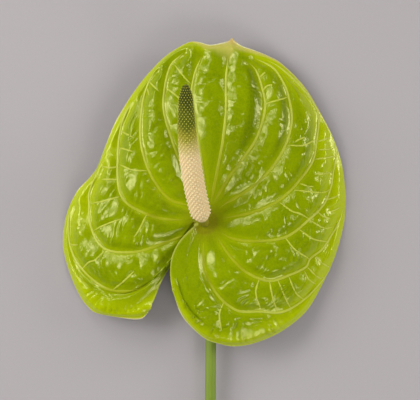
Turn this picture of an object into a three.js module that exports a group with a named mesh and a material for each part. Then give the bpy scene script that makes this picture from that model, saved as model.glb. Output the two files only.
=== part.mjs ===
// An anthurium cut flower that lies on its back: one heart-shaped spathe, the spadix that
// rises from its hub, and the long cut stem that bends up to the hub from underneath.
// Millimetres. +Y runs from the hub to the tip of the spathe, +Z is up, and the flower
// rests on two low points of the spathe's rim and on the cut end of the stem.
import * as THREE from 'three';

const { degToRad, lerp, smoothstep } = THREE.MathUtils;

// Driving dimensions.

const STEM_LENGTH = 340;
const STEM_NECK_RADIUS = 2.5;
const STEM_END_RADIUS = 3.1;
const STEM_SIDES = 14;
const STEM_RINGS = 44;

const HUB_HEIGHT = 17;
const HUB_FLAT_RADIUS = 3.3;
const COLLAR_RADIUS = 5.2;
const SEAT_GAP = 0.3;

const BLADE_THICKNESS = 0.85;
const HUB_THICKENING = 0.75;
const HUB_THICKENING_REACH = 6;
const EDGE_ROLL = 2.2;
const EDGE_ROLL_START = 0.9;

const VEIN_DEPTH = 1.7;
const VEIN_HALF_WIDTH = 3.6;
const RUNG_DEPTH = 0.55;
const ROWS_PER_RUNG = 3;
const RUNG_COUNT = 9;
const RUNG_STAGGER = 1.5;
const FULL_REACH = 75;
const ROOMY_SPACING = 13;
// Shares of the way from the collar to the margin between which the quilting is at its full depth.
const QUILTING_FULL = [0.2, 0.88];
// Beside the collar, up to this share of the way out, the blade's normal turns toward straight up,
// and so it does where a ray and its neighbours leave in directions closer than this sine.
const COLLAR_BLEND = 0.12;
const OPEN_SINE = 0.4;

const SPADIX_RADIUS = 4.4;
const SPADIX_TIP_RADIUS = 2.9;
const STIPE_RADIUS = 2.4;
const FLORETS_AROUND = 14;
const FLORET_ROWS = 62;
const FLORET_HEIGHT = 0.65;
// Shares of the way along the spadix: the florets, the slow taper, the round of the base, and the
// start of the rounded tip. A larger fullness makes the tip blunter.
const FLORETS_START = 0.085;
const FLORETS_END = 0.996;
const TAPER_START = 0.35;
const TAPER_END = 0.98;
const TAPER_POWER = 1.4;
const BASE_ROUNDING = 0.05;
const TIP_START = 0.84;
const TIP_FULLNESS = 2.4;

// The spathe's rays.
// Twenty rays run out from the collar round the hub, in order from the sinus margin of the
// right lobe, past the midrib, to the sinus margin of the left lobe. Each holds its bearing
// and rise where it leaves the collar, then x, y, height a quarter, half and three quarters
// of the way out. Vein is how deeply a main vein is pressed into the face along it.

const RAYS = [
  { vein: 0, collar: [-158, 1.3], stations: [[-11, -8, 21.5], [-15, -15.5, 22.5], [-16, -24.5, 22]] },
  { vein: 0, collar: [-136, 0.9], stations: [[-9.5, -16, 21.8], [-11, -29.5, 22.2], [-7, -42.5, 20]] },
  { vein: 0.6, collar: [-118, 0.5], stations: [[-8, -21, 21.6], [-5, -37.5, 21.4], [6, -50, 18.2]] },
  { vein: 0, collar: [-104, 0.2], stations: [[-3, -21.5, 21.5], [4.5, -37.5, 21.2], [20.5, -47, 17.4]] },
  { vein: 1, collar: [-88, 0], stations: [[1.5, -26, 21.2], [15, -41, 20], [35.5, -41.5, 15]] },
  { vein: 1, collar: [-54, 0], stations: [[16.5, -20.5, 20.6], [35, -26.5, 18.8], [52.5, -16, 12]] },
  { vein: 1, collar: [-28, 0], stations: [[23, -9.5, 20], [42, -5, 18.2], [55.5, 9, 11]] },
  { vein: 1, collar: [6, 0], stations: [[23.5, 5, 19.6], [40.5, 14.5, 18.2], [51, 30, 12.8]] },
  { vein: 1, collar: [34, 0], stations: [[21.5, 16, 19.4], [36.5, 31.5, 18.4], [41, 52, 13.8]] },
  { vein: 1, collar: [57, 0], stations: [[12.5, 22.5, 19.2], [24.5, 40, 19.2], [27.5, 59.5, 15.6]] },
  { vein: 1.1, collar: [74, 0], stations: [[5.5, 25, 19.2], [9, 45.5, 19.4], [10.5, 66.5, 15.8]] },
  { vein: 0.9, collar: [90, 0], stations: [[-1, 25.5, 19.2], [-4, 45.5, 19.4], [-5.5, 65.5, 15.9]] },
  { vein: 1, collar: [108, 0], stations: [[-10, 25, 19.4], [-17.5, 45, 18.8], [-18, 66.5, 14.4]] },
  { vein: 1, collar: [134, 0], stations: [[-20.5, 16.5, 19.5], [-29.5, 35.5, 18.2], [-29, 56.5, 13.6]] },
  { vein: 1, collar: [156, 0], stations: [[-23.5, 2, 19.4], [-38, 12, 17.6], [-41.5, 30, 13.6]] },
  { vein: 1, collar: [172, -0.3], stations: [[-21, -11.5, 18.4], [-41.5, -13, 16.8], [-54, 0.5, 11]] },
  { vein: 1, collar: [181, -0.7], stations: [[-17.6, -18, 17.5], [-38.1, -31.2, 15.9], [-58.1, -22.1, 8.6]] },
  { vein: 0.7, collar: [184, -1], stations: [[-13.8, -15, 17], [-27.7, -29.9, 16.2], [-45.7, -35.2, 12.6]] },
  { vein: 0, collar: [186, -1.3], stations: [[-10.3, -12.2, 16.6], [-20.7, -25.4, 16.4], [-33.6, -38, 13.9]] },
  { vein: 0, collar: [189, -1.5], stations: [[-9.2, -11.5, 16.2], [-17.1, -22.7, 16.2], [-21.9, -32.2, 14.6]] },
];
const LAST_RAY = RAYS.length - 1;

// The outline: ray number, then x, y and height of the margin. The cusp is at ray 10, and the
// rim's two low points are between rays 5 and 6 and between rays 16 and 17.
const OUTLINE = [
  [0, -14.5, -33.5, 20], [0.38, -11.5, -41.5, 19], [0.62, -8, -47, 17.8], [1, 0, -54.5, 16],
  [1.38, 8, -57.5, 14.3], [1.62, 13.5, -58.5, 13.2], [2, 21.5, -57.7, 11.6], [2.5, 32, -54, 9.8],
  [3, 40.5, -49, 8.2], [3.5, 48.5, -42, 5.6], [4, 54.5, -32.5, 3.6], [4.5, 61.8, -17, 2.4],
  [5, 66.3, -1, 1.1], [5.3, 67, 8, 0.6], [5.5, 67.1, 13.5, 0.9], [6, 65.3, 27, 2.6],
  [6.5, 61.5, 38.5, 4.2], [7, 56.7, 48.5, 4.8], [7.5, 47.6, 63.6, 6.2], [8, 37, 74.2, 8.6],
  [8.5, 30, 78.2, 9.6], [9, 23.5, 80.8, 10.4], [9.5, 17.8, 82.8, 10.6], [9.85, 14.2, 85.2, 9.2],
  [10, 13, 86.7, 8.2], [10.15, 11.6, 85.4, 9], [10.5, 8, 84.2, 10.4], [11, 2.5, 83.3, 11.4],
  [11.5, -2.5, 84.6, 11], [12, -6.8, 84.9, 9.8], [12.5, -13.5, 81.6, 9.4], [13, -20.5, 76.4, 8.8],
  [13.5, -31, 64.8, 7.4], [14, -41.5, 48.2, 8.6], [14.5, -47.3, 34.5, 8], [14.85, -51.4, 24.8, 6],
  [15, -54.6, 20.8, 5.2], [15.5, -60.6, 14.2, 3.6], [16, -65.4, 4, 1.8], [16.38, -67.2, -6, 0.75],
  [16.62, -67, -14, 1.1], [17, -63, -27, 3.6], [17.38, -58.5, -36, 5.6], [17.62, -55.5, -39.8, 6.6],
  [18, -50.8, -43.2, 8], [18.5, -37, -45.4, 10.8], [18.85, -29.5, -45.3, 12.4], [19, -26.5, -42.6, 13],
];

// Columns stand closer together beside a vein. The broad lobes take one column more.
const COLUMN_SHARES = [0, 0.15, 0.5, 0.85];
const LOBE_COLUMN_SHARES = [0, 0.15, 0.38, 0.62, 0.85];
const LOBE_RAYS = [0, 1, 16, 17];

// A smooth curve through knots [t, a, b, ...], with its slope at each knot from the knots beside it.
function curveThrough(knots) {
  const last = knots.length - 1;
  const slope = (i) => {
    const before = knots[Math.max(i - 1, 0)];
    const after = knots[Math.min(i + 1, last)];
    return before.slice(1).map((value, k) => (after[k + 1] - value) / (after[0] - before[0]));
  };
  const slopes = knots.map((_, i) => slope(i));
  return (t) => {
    let i = 0;
    while (i < last - 1 && knots[i + 1][0] < t) i += 1;
    const span = knots[i + 1][0] - knots[i][0];
    const s = (t - knots[i][0]) / span;
    const rise = s * s * (3 - 2 * s);
    const leave = s * (1 - s) * (1 - s) * span;
    const arrive = s * s * (s - 1) * span;
    return slopes[i].map((_, k) => lerp(knots[i][k + 1], knots[i + 1][k + 1], rise)
      + leave * slopes[i][k] + arrive * slopes[i + 1][k]);
  };
}

// The one quartic through five values at 0, 1/4, 1/2, 3/4 and 1.
function throughFive(values, v) {
  const nodes = [0, 0.25, 0.5, 0.75, 1];
  return nodes.reduce((sum, node, i) => {
    const weight = nodes.reduce((w, other) => (other === node ? w : w * (v - other) / (node - other)), 1);
    return sum + weight * values[i];
  }, 0);
}

const collarAt = curveThrough(RAYS.map((ray, u) => [u, ...ray.collar]));
const stationsAt = [0, 1, 2].map((k) => curveThrough(RAYS.map((ray, u) => [u, ...ray.stations[k]])));
const marginAt = curveThrough(OUTLINE);

// Mid-surface of the smooth blade at ray u, a share v of the way from the collar to the margin.
function bladePoint(u, v) {
  const [bearing, rise] = collarAt(u);
  const angle = degToRad(bearing);
  const start = [COLLAR_RADIUS * Math.cos(angle), COLLAR_RADIUS * Math.sin(angle), HUB_HEIGHT + rise];
  const [endX, endY, endZ] = marginAt(u);
  const path = [start, ...stationsAt.map((station) => station(u)), [endX, endY, endZ + EDGE_ROLL]];
  const [x, y, z] = [0, 1, 2].map((k) => throughFive(path.map((point) => point[k]), v));
  return new THREE.Vector3(x, y, z - EDGE_ROLL * smoothstep(v, EDGE_ROLL_START, 1) ** 2);
}

// How far apart two points of the blade are taken to find its slope, in rays and in shares.
const SLOPE_STEP = 0.004;

// How much room there is between neighbouring rays, from 0 where they run together to 1.
function roomAt(u, v) {
  const spacing = bladePoint(Math.min(u + 0.5, LAST_RAY), v)
    .distanceTo(bladePoint(Math.max(u - 0.5, 0), v));
  return [spacing, smoothstep(spacing, 0, ROOMY_SPACING)];
}

// Straight up beside the collar, and where rays run together or along the margin, so that
// thin strips of the blade stay open.
function bladeNormal(u, v) {
  const [u0, u1] = [Math.max(u - SLOPE_STEP, 0), Math.min(u + SLOPE_STEP, LAST_RAY)];
  const [v0, v1] = [Math.max(v - SLOPE_STEP, 0), Math.min(v + SLOPE_STEP, 1)];
  const outward = bladePoint(u, v1).sub(bladePoint(u, v0));
  const around = bladePoint(u1, v).sub(bladePoint(u0, v));
  const spread = Math.sin(outward.angleTo(around));
  const normal = outward.cross(around).normalize();
  const trusted = smoothstep(v, 0, COLLAR_BLEND) * roomAt(u, v)[1] * smoothstep(spread, 0, OPEN_SINE);
  return normal.lerp(new THREE.Vector3(0, 0, 1), 1 - trusted).normalize();
}

// Quilting of the face: a rounded groove along each main vein, and shallower grooves, the
// rungs, across the pillows between them. It dies out at the collar, at the margin and where
// rays run close together.
function quilting(u, v, row) {
  const nearest = Math.round(u);
  const [spacing, room] = roomAt(u, v);
  const away = Math.abs(u - nearest) * spacing;
  const groove = Math.exp(-((away / VEIN_HALF_WIDTH) ** 2));
  const rung = 0.5 + 0.5 * Math.cos((2 * Math.PI * row) / ROWS_PER_RUNG);
  const reach = bladePoint(u, 1).distanceTo(bladePoint(u, 0));
  const rungDepth = RUNG_DEPTH * Math.min(reach / FULL_REACH, 1);
  const [fullFrom, fullTo] = QUILTING_FULL;
  const shown = room * smoothstep(v, 0, fullFrom) * (1 - smoothstep(v, fullTo, 1));
  const pillow = VEIN_DEPTH * (1 - groove * RAYS[nearest].vein) - rungDepth * rung * (1 - groove);
  return shown * (pillow - VEIN_DEPTH / 2);
}

// Every second ray has its rungs pushed half a rung outward, so that they slant and alternate.
function rungShift(u) {
  return RUNG_STAGGER * Math.abs(((u + 1) % 2) - 1);
}

function bladeColumns() {
  const columns = [];
  for (let ray = 0; ray < LAST_RAY; ray += 1) {
    const shares = LOBE_RAYS.includes(ray) ? LOBE_COLUMN_SHARES : COLUMN_SHARES;
    columns.push(...shares.map((share) => ray + share));
  }
  return [...columns, LAST_RAY];
}

// Top and bottom of the blade at one column and row. Row 0 is the flat ring round the hub.
function bladeFaces(u, row, rows) {
  if (row === 0) {
    const angle = degToRad(collarAt(u)[0]);
    const top = new THREE.Vector3(Math.cos(angle), Math.sin(angle), 0).multiplyScalar(HUB_FLAT_RADIUS);
    top.z = HUB_HEIGHT;
    return [top, top.clone().setZ(HUB_HEIGHT - BLADE_THICKNESS - HUB_THICKENING)];
  }
  const plain = (row - 1) / (rows - 1);
  const v = plain + (rungShift(u) / (rows - 1)) * Math.sin(Math.PI * plain);
  const point = bladePoint(u, v);
  const normal = bladeNormal(u, v);
  const fromCollar = point.distanceTo(bladePoint(u, 0));
  const thickness = BLADE_THICKNESS + HUB_THICKENING * Math.exp(-fromCollar / HUB_THICKENING_REACH);
  const top = point.clone().addScaledVector(normal, quilting(u, v, row - 1));
  return [top, top.clone().addScaledVector(normal, -thickness)];
}

function spatheGeometry() {
  const columns = bladeColumns();
  const rows = RUNG_COUNT * ROWS_PER_RUNG + 1;
  const mesh = new ShellBuilder();
  const grid = columns.map((u) => {
    const column = [];
    for (let row = 0; row <= rows; row += 1) column.push(mesh.pair(...bladeFaces(u, row, rows)));
    return column;
  });
  const lastColumn = columns.length - 1;
  const centreTop = new THREE.Vector3(0, 0, HUB_HEIGHT);
  const centre = mesh.pair(centreTop, centreTop.clone().setZ(HUB_HEIGHT - BLADE_THICKNESS - HUB_THICKENING));
  for (let i = 0; i <= lastColumn; i += 1) {
    const next = (i + 1) % columns.length;
    mesh.facePair(centre, grid[i][0], grid[next][0]);
    // The lobes part at the collar, so only the hub's own ring goes all the way round.
    const outer = i < lastColumn ? rows : 1;
    for (let row = 0; row < outer; row += 1) {
      mesh.facePair(grid[i][row], grid[i][row + 1], grid[next][row + 1]);
      mesh.facePair(grid[i][row], grid[next][row + 1], grid[next][row]);
    }
  }
  const sinusRight = grid[0].slice(1, rows);
  const margin = grid.map((column) => column[rows]);
  const sinusLeft = grid[lastColumn].slice(1, rows).reverse();
  mesh.wall([...sinusRight, ...margin, ...sinusLeft]);
  return mesh.geometry();
}

// A thin shell with a top and a bottom point at every place, split alike on both faces.
class ShellBuilder {
  constructor() {
    this.points = [];
    this.triangles = [];
  }

  pair(top, bottom) {
    this.points.push(top, bottom);
    return this.points.length - 2;
  }

  facePair(a, b, c) {
    this.triangles.push(a, b, c, a + 1, c + 1, b + 1);
  }

  // Closes the edge along a loop that has the shell on its left, seen from above.
  wall(loop) {
    loop.forEach((a, i) => {
      const b = loop[(i + 1) % loop.length];
      this.triangles.push(a, a + 1, b, b, a + 1, b + 1);
    });
  }

  geometry() {
    return geometryFrom(this.points, this.triangles);
  }
}

function geometryFrom(points, triangles) {
  const geometry = new THREE.BufferGeometry().setFromPoints(points);
  geometry.setIndex(triangles);
  geometry.computeVertexNormals();
  return geometry;
}

// A point at a bearing round a curve, a distance off it. The bearing is measured from +X.
function besideCurve(curve, share, bearing, distance) {
  const tangent = curve.getTangentAt(share);
  const up = new THREE.Vector3(1, 0, 0).cross(tangent).normalize();
  const side = tangent.clone().cross(up).normalize();
  return curve.getPointAt(share)
    .addScaledVector(side, distance * Math.cos(bearing))
    .addScaledVector(up, -distance * Math.sin(bearing));
}

// Triangles of a cap that closes a ring of points onto a centre point.
function capTriangles(centre, ring, facesBack) {
  return ring.flatMap((a, i) => {
    const b = ring[(i + 1) % ring.length];
    return facesBack ? [centre, b, a] : [centre, a, b];
  });
}

function bandTriangles(lower, upper) {
  return lower.flatMap((a, i) => {
    const next = (i + 1) % lower.length;
    return [a, lower[next], upper[next], a, upper[next], upper[i]];
  });
}

const HUB_UNDERSIDE = HUB_HEIGHT - BLADE_THICKNESS - HUB_THICKENING;
const STEM_TOP = HUB_UNDERSIDE - SEAT_GAP;
const STEM_UPRIGHT = 1.6;

// The stem's line: from the cut end, along the surface with a slight arch, then up into the hub.
const stemCurve = new THREE.CatmullRomCurve3([
  [0.4, -STEM_LENGTH, STEM_END_RADIUS],
  [2.4, -250, 3.9],
  [3, -160, 5],
  [2.8, -90, 6],
  [2.8, -50, 6.7],
  [2, -24, 7.2],
  [0.9, -8, 7.7],
  [0.4, -3.4, 8.7],
  [0.1, -0.9, 10.8],
  [0, 0, STEM_TOP - STEM_UPRIGHT],
  [0, 0, STEM_TOP],
].map((point) => new THREE.Vector3(...point)), false, 'centripetal');

// Rings crowd into the bend at the neck.
const STEM_RING_CROWDING = 1.8;

function stemGeometry() {
  const points = [];
  const rings = [];
  for (let i = 0; i <= STEM_RINGS; i += 1) {
    const share = 1 - (1 - i / STEM_RINGS) ** STEM_RING_CROWDING;
    const radius = lerp(STEM_END_RADIUS, STEM_NECK_RADIUS, share);
    const ring = [];
    for (let k = 0; k < STEM_SIDES; k += 1) {
      const bearing = (2 * Math.PI * k) / STEM_SIDES;
      ring.push(points.push(besideCurve(stemCurve, share, bearing, radius)) - 1);
    }
    rings.push(ring);
  }
  const cutEnd = points.push(stemCurve.getPointAt(0)) - 1;
  const top = points.push(stemCurve.getPointAt(1)) - 1;
  const triangles = rings.slice(1).flatMap((ring, i) => bandTriangles(rings[i], ring));
  triangles.push(...capTriangles(cutEnd, rings[0], true), ...capTriangles(top, rings[STEM_RINGS], false));
  return geometryFrom(points, triangles);
}

const STIPE_FOOT = HUB_HEIGHT + SEAT_GAP;

// The spadix's line: straight up off the hub, then forward and a little left over the blade.
const spadixCurve = new THREE.CatmullRomCurve3([
  [0, 0, STIPE_FOOT],
  [0, 0, STIPE_FOOT + 1],
  [-1.2, 2.8, STIPE_FOOT + 5.4],
  [-3.4, 11, STIPE_FOOT + 11.4],
  [-5.5, 22, STIPE_FOOT + 17.4],
  [-7.3, 35, STIPE_FOOT + 23.2],
  [-8.2, 48.5, STIPE_FOOT + 28],
  [-8.5, 63, STIPE_FOOT + 31.8],
].map((point) => new THREE.Vector3(...point)), false, 'centripetal');

// The bare stipe, the rounded base, a slow taper and a blunt round tip.
function spadixRadius(share) {
  const narrowing = smoothstep(share, TAPER_START, TAPER_END) ** TAPER_POWER;
  const taper = lerp(SPADIX_RADIUS, SPADIX_TIP_RADIUS, narrowing);
  const base = Math.sqrt(smoothstep(share, FLORETS_START - BASE_ROUNDING / 2, FLORETS_START + BASE_ROUNDING));
  const intoTip = Math.max(share - TIP_START, 0) / (1 - TIP_START);
  const tip = Math.sqrt(Math.max(1 - intoTip ** TIP_FULLNESS, 0));
  return lerp(STIPE_RADIUS, taper, base) * tip;
}

// Florets sit in a staggered net of diamonds. Row by row the points alternate between a
// floret's peak and a corner where four diamonds meet, and the next row swaps them.
function spadixGeometry() {
  const points = [];
  const place = (share, step, lift) => {
    const bearing = (Math.PI * step) / FLORETS_AROUND;
    return points.push(besideCurve(spadixCurve, share, bearing, spadixRadius(share) + lift)) - 1;
  };
  const isPeak = (row, step) => (row + step) % 2 === 1;
  const rows = [];
  for (let row = 0; row <= FLORET_ROWS; row += 1) {
    const share = lerp(FLORETS_START, FLORETS_END, row / FLORET_ROWS);
    const atEnd = row === 0 || row === FLORET_ROWS;
    const lift = FLORET_HEIGHT * Math.min(1, spadixRadius(share) / SPADIX_TIP_RADIUS);
    const ring = [];
    for (let step = 0; step < 2 * FLORETS_AROUND; step += 1) {
      const peak = isPeak(row, step);
      ring.push(peak && atEnd ? -1 : place(share, step, peak ? lift : 0));
    }
    rows.push(ring);
  }
  const triangles = [];
  for (let row = 0; row <= FLORET_ROWS; row += 1) {
    for (let step = 0; step < 2 * FLORETS_AROUND; step += 1) {
      if (!isPeak(row, step)) continue;
      const left = rows[row][(step + 2 * FLORETS_AROUND - 1) % (2 * FLORETS_AROUND)];
      const right = rows[row][(step + 1) % (2 * FLORETS_AROUND)];
      const [below, peak, above] = [row - 1, row, row + 1].map((r) => rows[r]?.[step]);
      if (row === 0) triangles.push(left, right, above);
      else if (row === FLORET_ROWS) triangles.push(left, below, right);
      else triangles.push(peak, right, above, peak, above, left, peak, left, below, peak, below, right);
    }
  }
  const bottomRing = rows[0].filter((index) => index >= 0);
  const topRing = rows[FLORET_ROWS].filter((index) => index >= 0);
  const stipeShares = [0, FLORETS_START / 2];
  const stipeRings = stipeShares.map((share) => bottomRing.map((_, i) => place(share, 2 * i, 0)));
  const foot = points.push(spadixCurve.getPointAt(0)) - 1;
  const tip = points.push(spadixCurve.getPointAt(1)) - 1;
  triangles.push(
    ...bandTriangles(stipeRings[0], stipeRings[1]),
    ...bandTriangles(stipeRings[1], bottomRing),
    ...capTriangles(foot, stipeRings[0], true),
    ...capTriangles(tip, topRing, false),
  );
  return geometryFrom(points, triangles);
}

// The finished flower: its colours and its three pieces.
const MATERIALS = {
  spathe: new THREE.MeshStandardMaterial({ color: 0x93a21c, roughness: 0.35, metalness: 0 }),
  spadix: new THREE.MeshStandardMaterial({ color: 0xd0bb80, roughness: 0.6, metalness: 0 }),
  stem: new THREE.MeshStandardMaterial({ color: 0x7f9436, roughness: 0.5, metalness: 0 }),
};

function piece(name, geometry) {
  const mesh = new THREE.Mesh(geometry, MATERIALS[name]);
  mesh.name = name;
  return mesh;
}

const flower = new THREE.Group();
flower.name = 'anthurium_cut_flower';
flower.add(
  piece('spathe', spatheGeometry()),
  piece('spadix', spadixGeometry()),
  piece('stem', stemGeometry()),
);

// The origin is the middle of the bottom of the flower's bounding box.
const box = new THREE.Box3().setFromObject(flower);
const middle = box.getCenter(new THREE.Vector3());
flower.children.forEach((mesh) => mesh.geometry.translate(-middle.x, -middle.y, -box.min.z));

export default flower;
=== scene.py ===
# %% [markdown]
# # An anthurium cut flower
# The flower lies on its back with its stem along the surface, and the camera looks straight
# down on it. The CAD solids give the size, the place and the main forms. This lesson builds a
# finer spathe, spadix and stem over them, each one a surface worked out by formula, and gives
# each its finish. All lengths are in millimetres until the last step, which writes metres.

# %% The frame
import bpy
import numpy as np
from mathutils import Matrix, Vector
from mathutils.bvhtree import BVHTree


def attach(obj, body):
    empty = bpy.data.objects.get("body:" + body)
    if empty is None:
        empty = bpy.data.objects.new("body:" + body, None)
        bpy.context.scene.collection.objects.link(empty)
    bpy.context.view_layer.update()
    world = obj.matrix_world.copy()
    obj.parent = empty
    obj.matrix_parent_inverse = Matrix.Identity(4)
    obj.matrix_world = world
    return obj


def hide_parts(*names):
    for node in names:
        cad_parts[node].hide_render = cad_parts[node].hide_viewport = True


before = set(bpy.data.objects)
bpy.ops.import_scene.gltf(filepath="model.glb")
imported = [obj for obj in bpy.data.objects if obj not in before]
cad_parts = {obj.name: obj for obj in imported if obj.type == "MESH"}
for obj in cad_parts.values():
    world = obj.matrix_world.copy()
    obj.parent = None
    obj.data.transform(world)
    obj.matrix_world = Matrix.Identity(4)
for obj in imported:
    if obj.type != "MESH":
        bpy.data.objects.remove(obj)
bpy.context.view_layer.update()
rng = np.random.default_rng(7)

# %% [markdown]
# ## Where the flower's own zero is
# Every curve below starts at the hub, the point where spathe, spadix and stem meet. The foot of
# the CAD spadix is a level ring round that point, 0.3 mm above it, so its lowest corners give
# the hub without any measuring by hand.

# %% The hub
MM = 0.001
SEAT_GAP = 0.3
LEVEL_WITHIN = 0.01


def corners_of(node):
    """All corners of a CAD node, as an array in millimetres."""
    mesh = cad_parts[node].data
    flat = np.empty(len(mesh.vertices) * 3, np.float32)
    mesh.vertices.foreach_get("co", flat)
    return flat.reshape(-1, 3) / MM


foot = corners_of("spadix")
foot = foot[foot[:, 2] < foot[:, 2].min() + LEVEL_WITHIN]
HUB = (foot.min(0) + foot.max(0)) / 2 - [0, 0, SEAT_GAP]
print("hub in millimetres:", HUB.round(2))

# %% [markdown]
# ## Small tools
# Colours are written as the hex values that a screen shows, and one function turns them into the
# linear light that the renderer works in. One more function adds a shader node, with its settings
# and its links, because every material below is a handful of such nodes, and one turns the real
# size of a pattern into a texture's scale.

# %% Colours and nodes


def linear(hex_code):
    """An sRGB hex colour as linear RGBA: below 0.04045 divided by 12.92, above it a 2.4 power."""
    srgb = np.array([int(hex_code[i:i + 2], 16) for i in (1, 3, 5)]) / 255
    light = np.where(srgb <= 0.04045, srgb / 12.92, ((srgb + 0.055) / 1.055) ** 2.4)
    return (*light.tolist(), 1.0)


def node(tree, kind, inputs=None, **settings):
    """Adds a node. An input is a value, another node (its first live output) or a socket."""
    made = tree.nodes.new(kind)
    for name, value in settings.items():
        setattr(made, name, value)
    for key, value in (inputs or {}).items():
        socket = made.inputs[key]
        if isinstance(value, bpy.types.Node):
            value = next(out for out in value.outputs if out.enabled)
        if isinstance(value, bpy.types.NodeSocket):
            tree.links.new(value, socket)
        else:
            socket.default_value = value
    return made


def new_material(name):
    """A new node material, its tree, and in it the place on the piece, which patterns follow."""
    material = bpy.data.materials.new(name)
    material.use_nodes = True
    tree = material.node_tree
    tree.nodes.clear()
    return material, tree, node(tree, "ShaderNodeTexCoord").outputs["Object"]


def scale_for(size):
    """A texture's scale, which counts features per metre, for features of a size in mm."""
    return 1000 / size


def add_object(name, data):
    """A new object that shows some data, linked into the scene."""
    made = bpy.data.objects.new(name, data)
    bpy.context.scene.collection.objects.link(made)
    return made


print("the screen's mid grey as linear light:", round(linear("#808080")[0], 3))

# %% [markdown]
# ## Steps and lines
# Four tools of geometry come back all the time: an S-shaped step, which blends one form into the
# next, vectors of length 1, the way along a line of points, and rows of numbers read off between
# known ones.

# %% Steps and lines


def smooth(x, low, high):
    """Smoothstep: 0 below low, 1 above high, an S between them."""
    s = np.clip((x - low) / (high - low), 0, 1)
    return s * s * (3 - 2 * s)


def unit(vectors):
    """Vectors scaled to length 1."""
    return vectors / np.maximum(np.linalg.norm(vectors, axis=-1, keepdims=True), 1e-12)


def way_along(points):
    """How far along a line of points each one is: the lengths of the steps so far, summed."""
    return np.append(0, np.cumsum(np.linalg.norm(np.diff(points, axis=0), axis=1)))


def read_off(q, t, rows):
    """Rows of numbers at q, on straight lines between the rows that are known at t."""
    return np.column_stack([np.interp(q, t, column) for column in rows.T])


print("an S step at a quarter of its way:", smooth(0.25, 0, 1))

# %% [markdown]
# ## The spathe's plan
# A spathe is one leaf-like blade. Its main veins leave the hub like the ribs of a fan and curve
# round to the margin, so the blade is drawn as twenty rays, most of them veins, in order from the
# right lobe's sinus edge, past the midrib, to the left lobe's sinus edge. A ray runs through three
# given stations, and the outline says where it ends.

# %% Rays and outline
# Each ray's bearing and rise at the collar, then x, y and height at its three stations.
RAYS = [
    ((-158, 1.3), (-11, -8, 21.5), (-15, -15.5, 22.5), (-16, -24.5, 22)),
    ((-136, 0.9), (-9.5, -16, 21.8), (-11, -29.5, 22.2), (-7, -42.5, 20)),
    ((-118, 0.5), (-8, -21, 21.6), (-5, -37.5, 21.4), (6, -50, 18.2)),
    ((-104, 0.2), (-3, -21.5, 21.5), (4.5, -37.5, 21.2), (20.5, -47, 17.4)),
    ((-88, 0), (1.5, -26, 21.2), (15, -41, 20), (35.5, -41.5, 15)),
    ((-54, 0), (16.5, -20.5, 20.6), (35, -26.5, 18.8), (52.5, -16, 12)),
    ((-28, 0), (23, -9.5, 20), (42, -5, 18.2), (55.5, 9, 11)),
    ((6, 0), (23.5, 5, 19.6), (40.5, 14.5, 18.2), (51, 30, 12.8)),
    ((34, 0), (21.5, 16, 19.4), (36.5, 31.5, 18.4), (41, 52, 13.8)),
    ((57, 0), (12.5, 22.5, 19.2), (24.5, 40, 19.2), (27.5, 59.5, 15.6)),
    ((74, 0), (5.5, 25, 19.2), (9, 45.5, 19.4), (10.5, 66.5, 15.8)),
    ((90, 0), (-1, 25.5, 19.2), (-4, 45.5, 19.4), (-5.5, 65.5, 15.9)),
    ((108, 0), (-10, 25, 19.4), (-17.5, 45, 18.8), (-18, 66.5, 14.4)),
    ((134, 0), (-20.5, 16.5, 19.5), (-29.5, 35.5, 18.2), (-29, 56.5, 13.6)),
    ((156, 0), (-23.5, 2, 19.4), (-38, 12, 17.6), (-41.5, 30, 13.6)),
    ((172, -0.3), (-21, -11.5, 18.4), (-41.5, -13, 16.8), (-54, 0.5, 11)),
    ((181, -0.7), (-17.6, -18, 17.5), (-38.1, -31.2, 15.9), (-58.1, -22.1, 8.6)),
    ((184, -1), (-13.8, -15, 17), (-27.7, -29.9, 16.2), (-45.7, -35.2, 12.6)),
    ((186, -1.3), (-10.3, -12.2, 16.6), (-20.7, -25.4, 16.4), (-33.6, -38, 13.9)),
    ((189, -1.5), (-9.2, -11.5, 16.2), (-17.1, -22.7, 16.2), (-21.9, -32.2, 14.6)),
]
LAST_RAY = len(RAYS) - 1
MIDRIB = 10

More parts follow.
